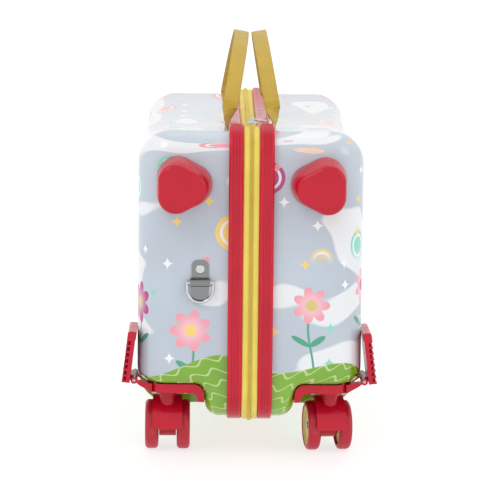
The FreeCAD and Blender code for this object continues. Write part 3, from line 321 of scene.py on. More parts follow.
class Graph:
    """A material's node tree.  Each call adds a node and returns one of its output sockets."""

    def __init__(self, name, **constants):
        self.material = bpy.data.materials.new(name)
        self.material.use_nodes = True
        self.tree = self.material.node_tree
        self.tree.nodes.clear()
        output = self.tree.nodes.new("ShaderNodeOutputMaterial")
        self.shader = self.tree.nodes.new("ShaderNodeBsdfPrincipled")
        self.tree.links.new(self.shader.outputs[0], output.inputs[0])
        for key, value in constants.items():
            self.shader.inputs[key.replace("_", " ").title()].default_value = value

    def feed(self, socket, value):
        """Links an output to an input, or sets the input to a constant."""
        if isinstance(value, bpy.types.NodeSocket):
            self.tree.links.new(value, socket)
        elif socket.type == "RGBA":
            socket.default_value = (*value[:3], 1)
        else:
            socket.default_value = value

    def node(self, kind, inputs, output=0, **settings):
        node = self.tree.nodes.new(kind)
        for name, value in settings.items():
            setattr(node, name, value)
        for key, value in inputs.items():
            self.feed(node.inputs[key], value)
        return node.outputs[output]

    def math(self, operation, *values):
        return self.node("ShaderNodeMath", dict(enumerate(values)), operation=operation)

    def add(self, one, other):
        return self.math("ADD", one, other)

    def less(self, one, other):
        return self.math("SUBTRACT", one, other)

    def times(self, one, other):
        return self.math("MULTIPLY", one, other)

    def wave(self, value, pitch, shift=0.0):
        """A sine from -1 to 1, one turn for each pitch."""
        return self.math("SINE", self.math("MULTIPLY_ADD", value, 2 * math.pi / pitch, shift))

    def span(self, across, up):
        """The length of a flat vector."""
        return self.math("SQRT", self.add(self.times(across, across), self.times(up, up)))

    def mix(self, share, low, high):
        """One colour at share 0, the other at share 1."""
        return self.node("ShaderNodeMix", {0: share, 6: low, 7: high}, 2, data_type="RGBA")

    def ramp(self, value, start, end, low=0.0, high=1.0):
        """Low before start, high past end and a smooth step between."""
        return self.node("ShaderNodeMapRange", {0: value, 1: start, 2: end, 3: low, 4: high},
                         interpolation_type="SMOOTHSTEP")

    def inside(self, depth, soft=0.0004):
        """1 where a depth below a drawn line is above zero, with a soft edge."""
        return self.ramp(depth, -soft, soft)

    def place(self):
        """The place on the case, in metres."""
        return self.node("ShaderNodeTexCoord", {}, "Object")

    def cloth_place(self):
        """Metres across and along a cloth."""
        return self.split(self.node("ShaderNodeUVMap", {}, uv_map="metres"))

    def split(self, vector):
        node = self.tree.nodes.new("ShaderNodeSeparateXYZ")
        self.tree.links.new(vector, node.inputs[0])
        return node.outputs[0], node.outputs[1], node.outputs[2]

    def join(self, x, y, z=0.0):
        return self.node("ShaderNodeCombineXYZ", {0: x, 1: y, 2: z})

    def noise(self, vector, scale, detail=2.0):
        return self.node("ShaderNodeTexNoise", {"Vector": vector, "Scale": scale, "Detail": detail}, "Fac")

    def bump(self, height, distance, strength):
        normal = self.node("ShaderNodeBump", {"Height": height, "Distance": distance, "Strength": strength})
        self.tree.links.new(normal, self.shader.inputs["Normal"])

    def surface(self, base, roughness=None):
        self.feed(self.shader.inputs["Base Color"], base)
        if roughness is not None:
            self.feed(self.shader.inputs["Roughness"], roughness)
        return self.material


def palette():
    """The colours of the case."""
    return bpy.context.scene.suitcase_colours


def shade(tone, factor):
    """A tone made darker or paler by a factor."""
    return tuple(min(channel * factor, 1.0) for channel in tone)


def moulded(name, tone, gloss=0.24, grooves=()):
    """Glossy moulded plastic: faint mottling, handling marks in its gloss and a fine orange-peel skin.

    Grooves are distances from the zip plane at which painted shade darkens the floor of a groove.
    """
    mottles, marks, peel = 38, 120, 300
    peel_height = 0.00002
    dust_and_groove_shade = 0.15
    g = Graph(name, coat_weight=0.12, coat_roughness=0.06)
    g.feed(g.shader.inputs["Specular IOR Level"], 0.3)
    where = g.place()
    base = g.mix(g.ramp(g.noise(where, mottles, 3), 0.3, 0.7), shade(tone, 0.95), shade(tone, 1.05))
    off_zip = g.math("ABSOLUTE", g.split(where)[0])
    half = bpy.context.scene.suitcase_sizes.rim_groove / 2
    # Painted shade: the floor of each groove is darkened towards half the tone.
    for groove in grooves:
        depth = g.less(half, g.math("ABSOLUTE", g.less(off_zip, groove)))
        base = g.mix(g.ramp(depth, -half, half, 0.0, dust_and_groove_shade), base, shade(tone, 0.5))
    g.bump(g.noise(where, peel, 1), peel_height, 0.06)
    return g.surface(base, g.ramp(g.noise(where, marks, 4), 0.35, 0.75, gloss - 0.05, gloss + 0.08))


def metal(name, tone, low, high):
    """Plated or plain steel, with a drifting polish and fine scratches."""
    patches, scratches_along, scratches_up = 90, 60.0, 2200.0
    scratch_depth = 0.00002
    g = Graph(name, metallic=1.0)
    where = g.place()
    polish = g.noise(where, patches, 3)
    x, y, z = g.split(where)
    scratches = g.join(g.times(x, scratches_along), y, g.times(z, scratches_up))
    g.bump(g.noise(scratches, 1.0), scratch_depth, 0.25)
    return g.surface(g.mix(polish, shade(tone, 0.93), tone), g.ramp(polish, 0.3, 0.8, low, high))


def woven(name, tone, pitch, depth, sheen=0.3):
    """Cloth of crossing yarns: a sine across times a sine along, with fuzz and paler worn patches."""
    hairs, worn_patches = 420, 45
    g = Graph(name, sheen_weight=sheen, sheen_roughness=0.5, roughness=0.82)
    u, v, _ = g.cloth_place()
    yarn = g.math("MULTIPLY_ADD", g.times(g.wave(u, pitch), g.wave(v, pitch)), 0.5, 0.5)
    fuzz = g.noise(g.place(), hairs, 3)
    wear = g.ramp(g.noise(g.place(), worn_patches), 0.35, 0.75, 0.0, 0.35)
    # Painted shade: the cloth is darker between the yarns and paler on their crests.
    tint = g.mix(g.ramp(yarn, 0.0, 0.9), shade(tone, 0.74), shade(tone, 1.06))
    g.bump(g.add(yarn, g.times(fuzz, 0.5)), depth, 0.8)
    return g.surface(g.mix(wear, tint, shade(tone, 1.18)))


def webbing(name, tone, width):
    """Strap webbing: herringbone ribs that turn at columns across it, with a denser selvedge."""
    columns, slant = 8, 1.1
    rib_pitch, warp_pitch, rib_height = 0.00135, 0.00105, 0.00028
    hairs, worn_patches = 520, 60
    g = Graph(name, sheen_weight=0.25, sheen_roughness=0.45, roughness=0.78)
    u, v, _ = g.cloth_place()
    chevron = g.add(v, g.times(g.math("PINGPONG", u, width / columns), slant))
    rib = g.math("MULTIPLY_ADD", g.wave(chevron, rib_pitch), 0.5, 0.5)
    warp = g.math("MULTIPLY_ADD", g.wave(u, warp_pitch), 0.5, 0.5)
    fuzz = g.noise(g.place(), hairs, 3)
    height = g.add(g.add(g.times(rib, 0.75), g.times(warp, 0.4)), g.times(fuzz, 0.35))
    wear = g.ramp(g.noise(g.place(), worn_patches), 0.4, 0.8, 0.0, 0.3)
    edge = g.ramp(g.math("ABSOLUTE", u), width * 0.43, width * 0.475, 0.0, 0.45)
    # Painted shade: the webbing is darker in the low places of the weave and paler on the ribs.
    tint = g.mix(g.ramp(height, 0.1, 1.2), shade(tone, 0.66), shade(tone, 1.15))
    g.bump(height, rib_height, 0.9)
    return g.surface(g.mix(edge, g.mix(wear, tint, shade(tone, 1.3)), shade(tone, 0.6)))


def rubber(name, tone):
    """A moulded tread: half matt, with fine grain and a little dust."""
    specks, grains, rubs = 160, 1400, 60
    grain_height = 0.00006
    dust_tone = (0.40, 0.20, 0.17)
    g = Graph(name)
    where = g.place()
    dust_and_groove_shade = g.ramp(g.noise(where, specks, 4), 0.5, 0.85, 0.0, 0.2)
    g.bump(g.noise(where, grains), grain_height, 0.5)
    rubbed = g.ramp(g.noise(where, rubs, 3), 0.3, 0.7, 0.34, 0.48)
    return g.surface(g.mix(dust_and_groove_shade, tone, dust_tone), rubbed)


class Print:
    """The shells' print, on two coordinates that run unbroken round each half.

    Across goes along the front, round the corner, along the side and round to the rear; up goes up the
    walls and over the top to the zip.  Both are in metres.  The right half takes a stretch of the pattern
    that lies a shift further on, so the halves differ.
    """
    half_shift = 7.05

    def __init__(self, name):
        self.g = g = Graph(name, coat_weight=0.7, coat_roughness=0.05)
        self.tones = palette()
        sizes = bpy.context.scene.suitcase_sizes
        self.where = g.place()
        x, y, z = g.split(self.where)
        dip = g.less(y, sizes.saddle_y)
        hollow = g.math("SQRT", g.less(sizes.saddle_r ** 2, g.times(dip, dip)))
        on_top = g.ramp(g.less(z, g.less(sizes.saddle_z + sizes.saddle_r, hollow)), -sizes.edge_r, 0.0)
        off_zip = g.math("ABSOLUTE", x)
        run = g.less(y, sizes.front_y)
        behind = g.math("GREATER_THAN", run, (sizes.rear_y - sizes.front_y) / 2)
        turned = g.less(2 * sizes.half_width, g.times(off_zip, 2.0))
        on_wall = g.add(off_zip, g.times(behind, turned))
        from_side = g.less(sizes.half_width, on_wall)
        other_half = g.times(g.math("GREATER_THAN", x, 0.0), self.half_shift)
        self.across = g.add(g.add(run, g.add(on_wall, g.times(on_top, from_side))), other_half)
        self.up = g.add(z, g.times(on_top, g.less(sizes.half_width, off_zip)))
        self.face = g.join(self.across, self.up)

    def pick(self, lot, tones):
        """One of several colours by a lot from 0 to 1."""
        tint = tones[0]
        for order, tone in enumerate(tones[1:], 1):
            tint = self.g.mix(self.g.math("GREATER_THAN", lot, order / len(tones)), tint, tone)
        return tint

    def scatter(self, scale):
        """Cells strewn over the face, so many to a metre.

        Gives the place relative to the nearest cell's middle, and three lots for the cell.
        """
        disorder = 0.62
        g = self.g
        cells = g.tree.nodes.new("ShaderNodeTexVoronoi")
        cells.voronoi_dimensions = "2D"
        g.feed(cells.inputs["Vector"], self.face)
        cells.inputs["Scale"].default_value = scale
        cells.inputs["Randomness"].default_value = disorder
        ends = {0: self.face, 1: cells.outputs["Position"]}
        across, up, _ = g.split(g.node("ShaderNodeVectorMath", ends, operation="SUBTRACT"))
        return across, up, g.split(cells.outputs["Color"])

    def sky(self):
        """A pale ground, whiter upwards as a painted highlight, with soft clouds."""
        g, tones = self.g, self.tones
        drifts, puffs_across, puffs_up = 9, 9.0, 17.0
        pale_from, pale_to = 0.24, 0.40
        drift = g.noise(self.where, drifts, 3)
        ground = g.mix(g.ramp(drift, 0.3, 0.7), shade(tones.ground, 0.95), shade(tones.ground, 1.06))
        # Painted highlight: the ground turns whiter up the walls and over the top.
        ground = g.mix(g.ramp(self.up, pale_from, pale_to, 0.0, 0.2), ground, tones.white)
        puff = g.noise(g.join(g.times(self.across, puffs_across), g.times(self.up, puffs_up)), 1.0, 1.0)
        return g.mix(g.ramp(puff, 0.56, 0.585, 0.0, 0.8), ground, tones.white)

    def rainbow(self, base):
        """Four rings round one middle on each side, whose lower halves the hills cover."""
        g, tones = self.g, self.tones
        middle_across, middle_up = 0.335, 0.085
        outer, pitch, half_band = 0.122, 0.0125, 0.0058
        along = g.less(g.math("FLOORED_MODULO", self.across, self.half_shift), middle_across)
        radius = g.span(along, g.less(self.up, middle_up))
        for order, tone in enumerate((tones.pink, tones.peach, tones.yellow, tones.mint)):
            depth = g.less(half_band, g.math("ABSOLUTE", g.less(radius, outer - pitch * order)))
            base = g.mix(g.times(g.inside(depth), 0.9), base, tone)
        return base

    def bubbles(self, base):
        """Round balloons without strings, ringed or striped by lot, on the upper part of the walls."""
        g, tones = self.g, self.tones
        least, spread = 0.0105, 0.009
        ring_at, half_ring = 0.68, 0.0013
        stripe_pitch, stripe_slant = 0.0062, 0.7
        low, full = 0.195, 0.215
        left_out, ringed_up_to = 0.36, 0.72
        across, up, lot = self.scatter(15.5)
        radius = g.span(across, up)
        size = g.math("MULTIPLY_ADD", lot[1], spread, least)
        tint = self.pick(lot[0], (tones.pink, tones.mint, tones.yellow, tones.peach, tones.berry))
        ring_depth = g.less(half_ring, g.math("ABSOLUTE", g.less(radius, g.times(size, ring_at))))
        ringed = g.mix(g.inside(ring_depth), tint, tones.white)
        stripe = g.wave(g.add(across, g.times(up, stripe_slant)), stripe_pitch)
        striped = g.mix(g.ramp(stripe, 0.2, 0.4), tint, tones.white)
        fill = g.mix(g.math("GREATER_THAN", lot[2], ringed_up_to), ringed, striped)
        drawn = g.times(g.ramp(self.up, low, full), g.math("GREATER_THAN", lot[2], left_out))
        return g.mix(g.times(g.inside(g.less(size, radius)), drawn), base, fill)

    def sparkles(self, base):
        """Small four-pointed stars: the sum of the roots of both distances stays below a bound."""
        g, tones = self.g, self.tones
        power, bound, soft, left_out = 0.55, 0.066, 0.003, 0.45
        across, up, lot = self.scatter(31.0)
        roots = [g.math("POWER", g.math("ABSOLUTE", way), power) for way in (across, up)]
        star = g.ramp(g.add(*roots), bound, bound - soft)
        shown = g.times(star, g.math("GREATER_THAN", lot[2], left_out))
        return g.mix(shown, base, self.pick(lot[0], (tones.mint, tones.yellow, tones.pink, tones.white)))

    def garden(self, base):
        """A row of flowers, one in each stretch: a bent stem, two leaves and a head of seven petals."""
        g = self.g
        stretch, start, sway = 0.075, 0.0205, 0.014
        least_height, height_spread = 0.122, 0.055
        run = g.times(g.less(self.across, start), 1 / stretch)
        order = g.math("FLOOR", run)
        lot = g.split(g.node("ShaderNodeTexWhiteNoise", {"W": order}, "Color", noise_dimensions="1D"))
        from_middle = g.times(g.less(g.less(run, order), 0.5), stretch)
        across = g.less(from_middle, g.math("MULTIPLY_ADD", lot[0], sway, -sway / 2))
        below = g.less(g.math("MULTIPLY_ADD", lot[1], height_spread, least_height), self.up)
        return self.flower_head(self.stem(base, across, below), across, below, lot)

    def stem(self, base, across, below):
        """A line that sways with a sine, and two slanting ellipses beside it."""
        g, tones = self.g, self.tones
        half_stem, bend, bend_pitch = 0.0011, 0.003, 0.09
        leaf_at, leaf_reach, leaf_half, leaf_slant = 0.036, 0.0085, 0.0034, 0.55
        side = g.add(across, g.times(g.wave(below, bend_pitch), bend))
        line = g.inside(g.less(half_stem, g.math("ABSOLUTE", side)))
        base = g.mix(g.times(line, g.math("GREATER_THAN", below, 0.0)), base, tones.leaf)
        out = g.less(g.math("ABSOLUTE", side), leaf_reach)
        lift = g.add(g.less(below, leaf_at), g.times(out, leaf_slant))
        leaf = g.less(1.0, g.span(g.times(out, 1 / leaf_reach), g.times(lift, 1 / leaf_half)))
        return g.mix(g.inside(leaf, 0.05), base, tones.leaf)

    def flower_head(self, base, across, below, lot):
        """Petals whose reach follows a cosine of the angle, paler inwards, round a small disc."""
        g, tones = self.g, self.tones
        petals, petal_root = 7, 0.58
        least, spread, heart_radius = 0.0175, 0.007, 0.0058
        pale_from, pale_to = 0.004, 0.018
        radius = g.span(across, below)
        turn = g.times(g.math("ARCTAN2", below, across), petals / 2)
        lobe = g.math("ABSOLUTE", g.math("COSINE", turn))
        petal = g.math("MULTIPLY_ADD", lobe, 1 - petal_root, petal_root)
        size = g.math("MULTIPLY_ADD", lot[2], spread, least)
        tint = self.pick(lot[0], (tones.berry, tones.yellow, tones.pink, tones.peach))
        tint = g.mix(g.ramp(radius, pale_from, pale_to, 0.35, 0.0), tint, tones.white)
        base = g.mix(g.inside(g.less(g.times(size, petal), radius)), base, tint)
        heart = self.pick(lot[1], (tones.yellow, tones.cream, tones.berry))
        return g.mix(g.inside(g.less(heart_radius, radius)), base, heart)

    def hills(self, base):
        """Green hills along the keel: the sum of two sines, with pale wavy lines that follow it."""
        g, tones = self.g, self.tones
        long_wave, short_wave, swell = 0.37, 0.155, 0.009
        mean_top, least_top = 0.088, 0.082
        loop_pitch, loop_height, loop_slant, line_pitch = 0.021, 0.0028, 0.8, 0.0125
        line_tone = (0.55, 0.68, 0.30)
        crest = g.add(g.wave(self.across, long_wave, 1.0), g.wave(self.across, short_wave, 0.6))
        top = g.math("MAXIMUM", g.math("MULTIPLY_ADD", crest, swell, mean_top), least_top)
        depth = g.less(top, self.up)
        loop = g.wave(g.add(self.across, g.times(depth, loop_slant)), loop_pitch)
        curl = g.add(depth, g.times(loop, loop_height))
        line = g.ramp(g.wave(curl, line_pitch), 0.86, 0.95, 0.0, 0.75)
        tone = g.mix(g.noise(self.where, 14), shade(tones.grass, 0.78), shade(tones.grass, 1.2))
        return g.mix(g.inside(depth), base, g.mix(line, tone, line_tone))

    def material(self):
        """All layers, one over the other, under a glossy skin with long shallow waves."""
        base = self.sky()
        for layer in (self.rainbow, self.bubbles, self.sparkles, self.garden, self.hills):
            base = layer(base)
        g = self.g
        waves, wave_height, rubs = 40, 0.00003, 70
        g.bump(g.noise(self.where, waves, 1), wave_height, 0.05)
        return g.surface(base, g.ramp(g.noise(self.where, rubs, 3), 0.3, 0.7, 0.16, 0.26))


# Operators, one for each piece or group of alike pieces

class SUITCASE_OT_shells(bpy.types.Operator):
    """Prints the shells"""
    bl_idname = "suitcase.shells"
    bl_label = "Shells"

    def execute(self, context):
        dress(Print("print").material(), *(f"{side}_shell" for side, _ in SIDES))
        return {"FINISHED"}


class SUITCASE_OT_mouldings(bpy.types.Operator):
    """Colours the rims, grips, footrests, wheel bases and yokes"""
    bl_idname = "suitcase.mouldings"
    bl_label = "Red mouldings"

    def execute(self, context):
        sizes = context.scene.suitcase_sizes
        red = tuple(palette().red)
        plastic = moulded("red_plastic", red)
        grooves = [sizes.zip_half + sizes.rim_width * share for share in (0.3, 0.5, 0.7)]
        # The rims take a paler copy of the red: partly their own tone, partly painted light.
        ribbed = moulded("rim_plastic", shade(red, 1.1), gloss=0.2, grooves=grooves)
        for side, _ in SIDES:
            dress(ribbed, f"{side}_rim")
            dress(plastic, f"{side}_grip", f"{side}_footrest")
            for end in ENDS:
                dress(plastic, f"{end}_{side}_wheel_base", f"{end}_{side}_yoke")
        return {"FINISHED"}


class SUITCASE_OT_wheels(bpy.types.Operator):
    """Colours the treads and hubs"""
    bl_idname = "suitcase.wheels"
    bl_label = "Wheels"

    def execute(self, context):
        tread = rubber("tread", tuple(palette().tread))
        cream = moulded("hub", tuple(palette().cream), gloss=0.32)
        for side, _ in SIDES:
            for end in ENDS:
                for wheel in ("outer", "inner"):
                    dress(tread, f"{end}_{side}_{wheel}_tyre")
                    dress(cream, f"{end}_{side}_{wheel}_hub")
        return {"FINISHED"}


class SUITCASE_OT_metal(bpy.types.Operator):
    """Plates the tow clip and zip slider, and finishes the pins and screws"""
    bl_idname = "suitcase.metal"
    bl_label = "Metal"

    def execute(self, context):
        chrome = metal("chrome", (0.60, 0.61, 0.62), low=0.06, high=0.16)
        # The clip plate takes a darker copy of the chrome: partly a duller plating, partly a painted dark
        # reflection of the surroundings.
        plate_painted_dark = metal("plate_painted_dark", (0.25, 0.26, 0.26), low=0.10, high=0.22)
        steel = metal("steel", (0.42, 0.42, 0.43), low=0.22, high=0.38)
        dress(chrome, "clip_rivet", "tow_ring", "zip_slider", "zip_pull")
        dress(plate_painted_dark, "clip_plate")
        for side, _ in SIDES:
            dress(steel, f"{side}_footrest_pin", f"{side}_kingpins", f"{side}_screws")
            dress(steel, *(f"{end}_{side}_axle" for end in ENDS))
        return {"FINISHED"}


class SUITCASE_OT_zip(bpy.types.Operator):
    """Sews the zip's tapes and winds its coils"""
    bl_idname = "suitcase.zip"
    bl_label = "Zip"

    def execute(self, context):
        sizes = context.scene.suitcase_sizes
        cloth = woven("zip_cloth", tuple(palette().tape), pitch=0.0011, depth=0.00012)
        nylon = moulded("zip_nylon", tuple(palette().coil), gloss=0.36)
        profile = self.profile(sizes)
        for side, sign in SIDES:
            points = ring([(sign * x, sizes.tape_proud + rise, sizes.tape_keel + rise)
                           for x, rise in profile])
            run, _ = run_of(points[:, 2, 1:])
            across = np.array(profile)[:, 0]
            uv = np.stack(np.broadcast_arrays(across[None], run[:, None]), axis=-1)
            new_piece(f"{side}_tape", grid_mesh(f"{side}_tape", points[None], True, True, uv[None]),
                      f"{side}_half", cloth, "zip_tape", f"{side}_zip_tape")
            new_piece(f"{side}_coil", grid_mesh(f"{side}_coil", self.coil(sizes, sign)[None], True, True),
                      f"{side}_half", nylon, "zip_tape")
        return {"FINISHED"}

    def profile(self, sizes):
        """The tape's section: distances from the zip plane, and rises above the tape's height."""
        gap, wall, crown = 0.0001, 0.0014, 0.0001
        inner, middle, outer = 0.0010, 0.0045, 0.0070
        edge, edge_drop = sizes.zip_half - gap, 0.0003
        return ((gap, -wall), (gap, -wall / 2), (inner, 0.0), (middle, crown), (outer, 0.0),
                (edge, -edge_drop), (edge, -wall))

    def coil(self, sizes, sign):
        """A helix along the zip: across it goes with the cosine of the turn, above the tape with its sine.

        Its loops reach over the zip plane between the loops of the other half.
        """
        half_height = 0.0008
        half_width = 0.0010
        overlap = 0.0003
        turn_steps, tangent_steps = 9, 4
        drop = half_height + sizes.coil_wire
        row = outline(sizes.coil_proud - drop, sizes.tape_keel + sizes.coil_proud - sizes.tape_proud - drop)
        run, whole = run_of(row)
        turns = round(whole / sizes.coil_pitch)
        at = np.linspace(0, whole, turns * turn_steps, endpoint=False)
        closed = np.vstack([row, row[:1]])
        grid = np.append(run, whole)
        middle = np.column_stack([np.interp(at, grid, closed[:, k]) for k in (0, 1)])
        tangent = np.roll(middle, -tangent_steps, axis=0) - np.roll(middle, tangent_steps, axis=0)
        tangent /= np.linalg.norm(tangent, axis=1, keepdims=True)
        out = np.column_stack([-tangent[:, 1], tangent[:, 0]])
        turn = 2 * math.pi * turns * at / whole + (math.pi if sign > 0 else 0)
        x = sign * (half_width * (1 + np.cos(turn)) - overlap)
        path = np.column_stack([x, middle + half_height * np.sin(turn)[:, None] * out])
        return tube(path, sizes.coil_wire)


class SUITCASE_OT_handles(bpy.types.Operator):
    """Makes the webbing handles with their folded feet and stitching"""
    bl_idname = "suitcase.handles"
    bl_label = "Handles"
    bend_low = -0.004
    bend_high = 0.006

    def execute(self, context):
        sizes = context.scene.suitcase_sizes
        cloth = webbing("webbing", tuple(palette().webbing), sizes.webbing_width)
        thread = moulded("thread", shade(tuple(palette().webbing), 1.3), gloss=0.5)
        section = flat_section(sizes.webbing_width, sizes.webbing_wall)
        for side, sign in SIDES:
            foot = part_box(f"{side}_handle_tabs")[0].z - sizes.handle_z
            path, across = self.loop(sizes, foot)
            points = sweep(path, across, section)
            mesh = grid_mesh(f"{side}_webbing", self.stand(sizes, sign, points)[None], False, True,
                             strap_uv(points, section)[None])
            strap = new_piece(f"{side}_webbing", mesh, None, cloth, "webbing", f"{side}_handle",
                              f"{side}_handle_tabs")
            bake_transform(strap)
            seams = self.stand(sizes, sign, self.seams(sizes, path))
            new_piece(f"{side}_handle_thread", grid_mesh(f"{side}_handle_thread", seams, False, True),
                      f"{side}_handle", thread, "webbing")
        return {"FINISHED"}

    def loop(self, sizes, foot):
        """The strap's middle line and the direction across it.

        An arc over two straight legs; down each leg the strap turns from square on to edge on.
        """
        arch_steps, leg_steps = 150, 45
        rise = sizes.handle_height - sizes.handle_twist
        half = sizes.handle_span / 2
        radius = (half ** 2 + rise ** 2) / (2 * rise)
        low = sizes.handle_height - radius
        mid = radius - sizes.webbing_wall / 2
        start = math.asin((sizes.handle_twist - low) / mid)
        angle = np.linspace(math.pi - start, start, arch_steps)
        arch = np.column_stack([np.zeros(arch_steps), mid * np.cos(angle), low + mid * np.sin(angle)])
        share = np.linspace(0, 1, leg_steps, endpoint=False)[:, None]
        leg = np.array([[0, -half, foot]]) * (1 - share) + arch[:1] * share
        raised = (leg[:, 2:] - sizes.handle_tip) / (sizes.handle_fold - sizes.handle_tip)
        turn = np.arccos(np.clip(raised, 0, 1))
        leg_across = np.hstack([np.cos(turn), np.sin(turn), np.zeros_like(turn)])
        arch_across = np.tile([1.0, 0, 0], (arch_steps, 1))
        across = np.vstack([leg_across, arch_across, leg_across[::-1] * [1, -1, 1]])
        return np.vstack([leg, arch, leg[::-1] * [1, -1, 1]]), across

    def stand(self, sizes, sign, points):
        """Turns the loop to the other one about its hinge line, with a smooth bend there, and places it."""
        share = np.clip((points[..., 2] - self.bend_low) / (self.bend_high - self.bend_low), 0, 1)
        lean = -sign * sizes.handle_lean * share * share * (3 - 2 * share)
        x, y, z = points[..., 0], points[..., 1], points[..., 2]
        return np.stack([x * np.cos(lean) + z * np.sin(lean) + sign * sizes.handle_x, y + sizes.handle_y,
                         z * np.cos(lean) - x * np.sin(lean) + sizes.handle_z], axis=-1)

    def seams(self, sizes, path):
        """Two rows of stitches across the strap above each folded foot, on both of its faces."""
        pitch, half_stitch, radius = 0.0022, 0.0008, 0.00032
        lower, upper = sizes.handle_fold + 0.0015, sizes.handle_fold + 0.0045
        columns = np.arange(-3, 4) * pitch
        climb = path[:len(path) // 2]
        rows = []
        for leg in (-1, 1):
            for z in (lower, upper):
                y = leg * np.interp(z, climb[:, 2], -climb[:, 1])
                for face in (-1, 1):
                    rows.append((y + face * sizes.webbing_wall / 2, z, face))
        middle = np.array([(column, y, z) for y, z, _ in rows for column in columns])
        faces = np.repeat(np.array([(0.0, face, 0.0) for _, _, face in rows]), len(columns), axis=0)
        return stitches(middle - [half_stitch, 0, 0], middle + [half_stitch, 0, 0], faces, radius)


class SUITCASE_OT_linings(bpy.types.Operator):
    """Stretches the linings into the shells and sews the fabric hinge into the keel"""
    bl_idname = "suitcase.linings"
    bl_label = "Linings"
    side_steps = 44
    flat_length = 0.46
    hinge_width = 0.0385
    hinge_bend = 0.008

    def execute(self, context):
        sizes = context.scene.suitcase_sizes
        cloth = woven("lining_cloth", tuple(palette().lining), pitch=0.0016, depth=0.00015, sheen=0.15)
        for side, sign in SIDES:
            points, uv = self.pocket(sizes, sign)
            mesh = grid_mesh(f"{side}_cloth", points[None], True, False, uv[None])
            piece = new_piece(f"{side}_cloth", mesh, f"{side}_half", cloth, "lining", f"{side}_lining")
        strip, uv = self.hinge()
        mesh = grid_mesh("hinge_strip", strip[None], False, False, uv[None])
        piece = new_piece("hinge_strip", mesh, None, cloth, "hinge_tape", "left_hinge_tape",
                          "right_hinge_tape")
        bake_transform(piece)
        return {"FINISHED"}

    def pocket(self, sizes, sign):
        """A lining from the mouth along the walls, round the edge and over the flat side to its middle.

        Along a row the depth from the zip plane and the distance in from the wall follow a straight line, a
        quarter circle and a straight line; at a wheel well a smaller circle leads to the well's wall, which
        bounds the depth.
        """
        wall_gap, side_gap, mouth = 0.0034, 0.0036, 0.0300
        mouth_steps, wall_steps, edge_steps = 10, 9, 13
        wall = outline(-wall_gap, -wall_gap)
        depth = sizes.half_width - side_gap
        radius = sizes.edge_r - side_gap
        edge = depth - radius
        angle = np.linspace(0, math.pi / 2, edge_steps)
        x = np.concatenate([np.linspace(mouth, sizes.well_wall, mouth_steps),
                            np.linspace(sizes.well_wall, edge, wall_steps)[1:-1],
                            edge + radius * np.sin(angle)])
        past_edge = np.maximum(x - edge, 0)
        inward = np.tile(radius - np.sqrt(np.maximum(radius ** 2 - past_edge ** 2, 0)), (len(wall), 1))
        turn = np.clip(x - sizes.well_wall + sizes.well_round, 0, sizes.well_round)
        turned = np.maximum(inward, sizes.well_round - np.sqrt(sizes.well_round ** 2 - turn ** 2))
        at_well = self.over_well(sizes, self.inside(sizes, wall, inward))[:, :len(x)]
        flat = self.inside(sizes, wall, inward + at_well * (turned - inward))
        x = np.append(x, np.full(self.side_steps, depth))
        x = np.minimum(x, depth + (sizes.well_wall - depth) * self.over_well(sizes, flat))
        points = np.concatenate([sign * x[..., None], flat], axis=-1)
        run, _ = run_of(wall)
        across = np.cumsum(np.linalg.norm(np.diff(points, axis=1, prepend=points[:, :1]), axis=-1), axis=1)
        return points, np.stack(np.broadcast_arrays(across, run[:, None]), axis=-1)

    def inside(self, sizes, wall, inward):
        """Rows of places at the given distances in from the wall, then in even steps to the middle."""
        middle_z, nearly_there = 0.19, 0.995
        least_square, most_share = 0.6, 0.5
        ray = np.array([(sizes.front_y + sizes.rear_y) / 2, middle_z]) - wall
        reach = np.linalg.norm(ray, axis=1, keepdims=True)
        tangent = np.roll(wall, -1, axis=0) - np.roll(wall, 1, axis=0)
        tangent /= np.linalg.norm(tangent, axis=1, keepdims=True)
        square = np.abs(tangent[:, :1] * ray[:, 1:] - tangent[:, 1:] * ray[:, :1]) / reach
        step = np.minimum(inward / np.clip(square, least_square, 1), reach * most_share) / reach
        rest = np.linspace(0, 1, self.side_steps + 1)[None, 1:]
        share = np.hstack([step, step[:, -1:] + (nearly_there - step[:, -1:]) * rest])
        return wall[:, None] + share[..., None] * ray[:, None]

    def over_well(self, sizes, flat):
        """1 over a wheel well, 0 clear of the wells, with a smooth step beside and above them."""
        well_length, well_top, slope = 0.1045, 0.0785, 0.0075
        end = np.minimum(flat[..., 0] - sizes.front_y, sizes.rear_y - flat[..., 0])
        beside = self.ease(well_length + slope, well_length, end)
        return beside * self.ease(well_top + slope, well_top, flat[..., 1])

    def ease(self, start, end, value):
        """0 at start, 1 at end and a smooth step between."""
        share = np.clip((value - start) / (end - start), 0, 1)
        return share * share * (3 - 2 * share)

    def hinge(self):
        """The fabric hinge: flat at both edges, with slack in a low round fold over the keel's middle."""
        lift, slack, fold_half = 0.0004, 0.0038, 0.006
        ripple, ripples = 0.12, 61
        columns, rows = 41, 81
        low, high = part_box("left_hinge_tape")
        x = np.linspace(low.x, -low.x, columns)[None]
        y = np.linspace(low.y, high.y, rows)[:, None]
        fold = np.exp(-(x / fold_half) ** 2)
        z = low.z + lift + slack * fold * (1 + ripple * np.sin(y * ripples))
        points = np.stack(np.broadcast_arrays(x, y, z), axis=-1)
        return points, np.stack(np.broadcast_arrays(x, y), axis=-1)


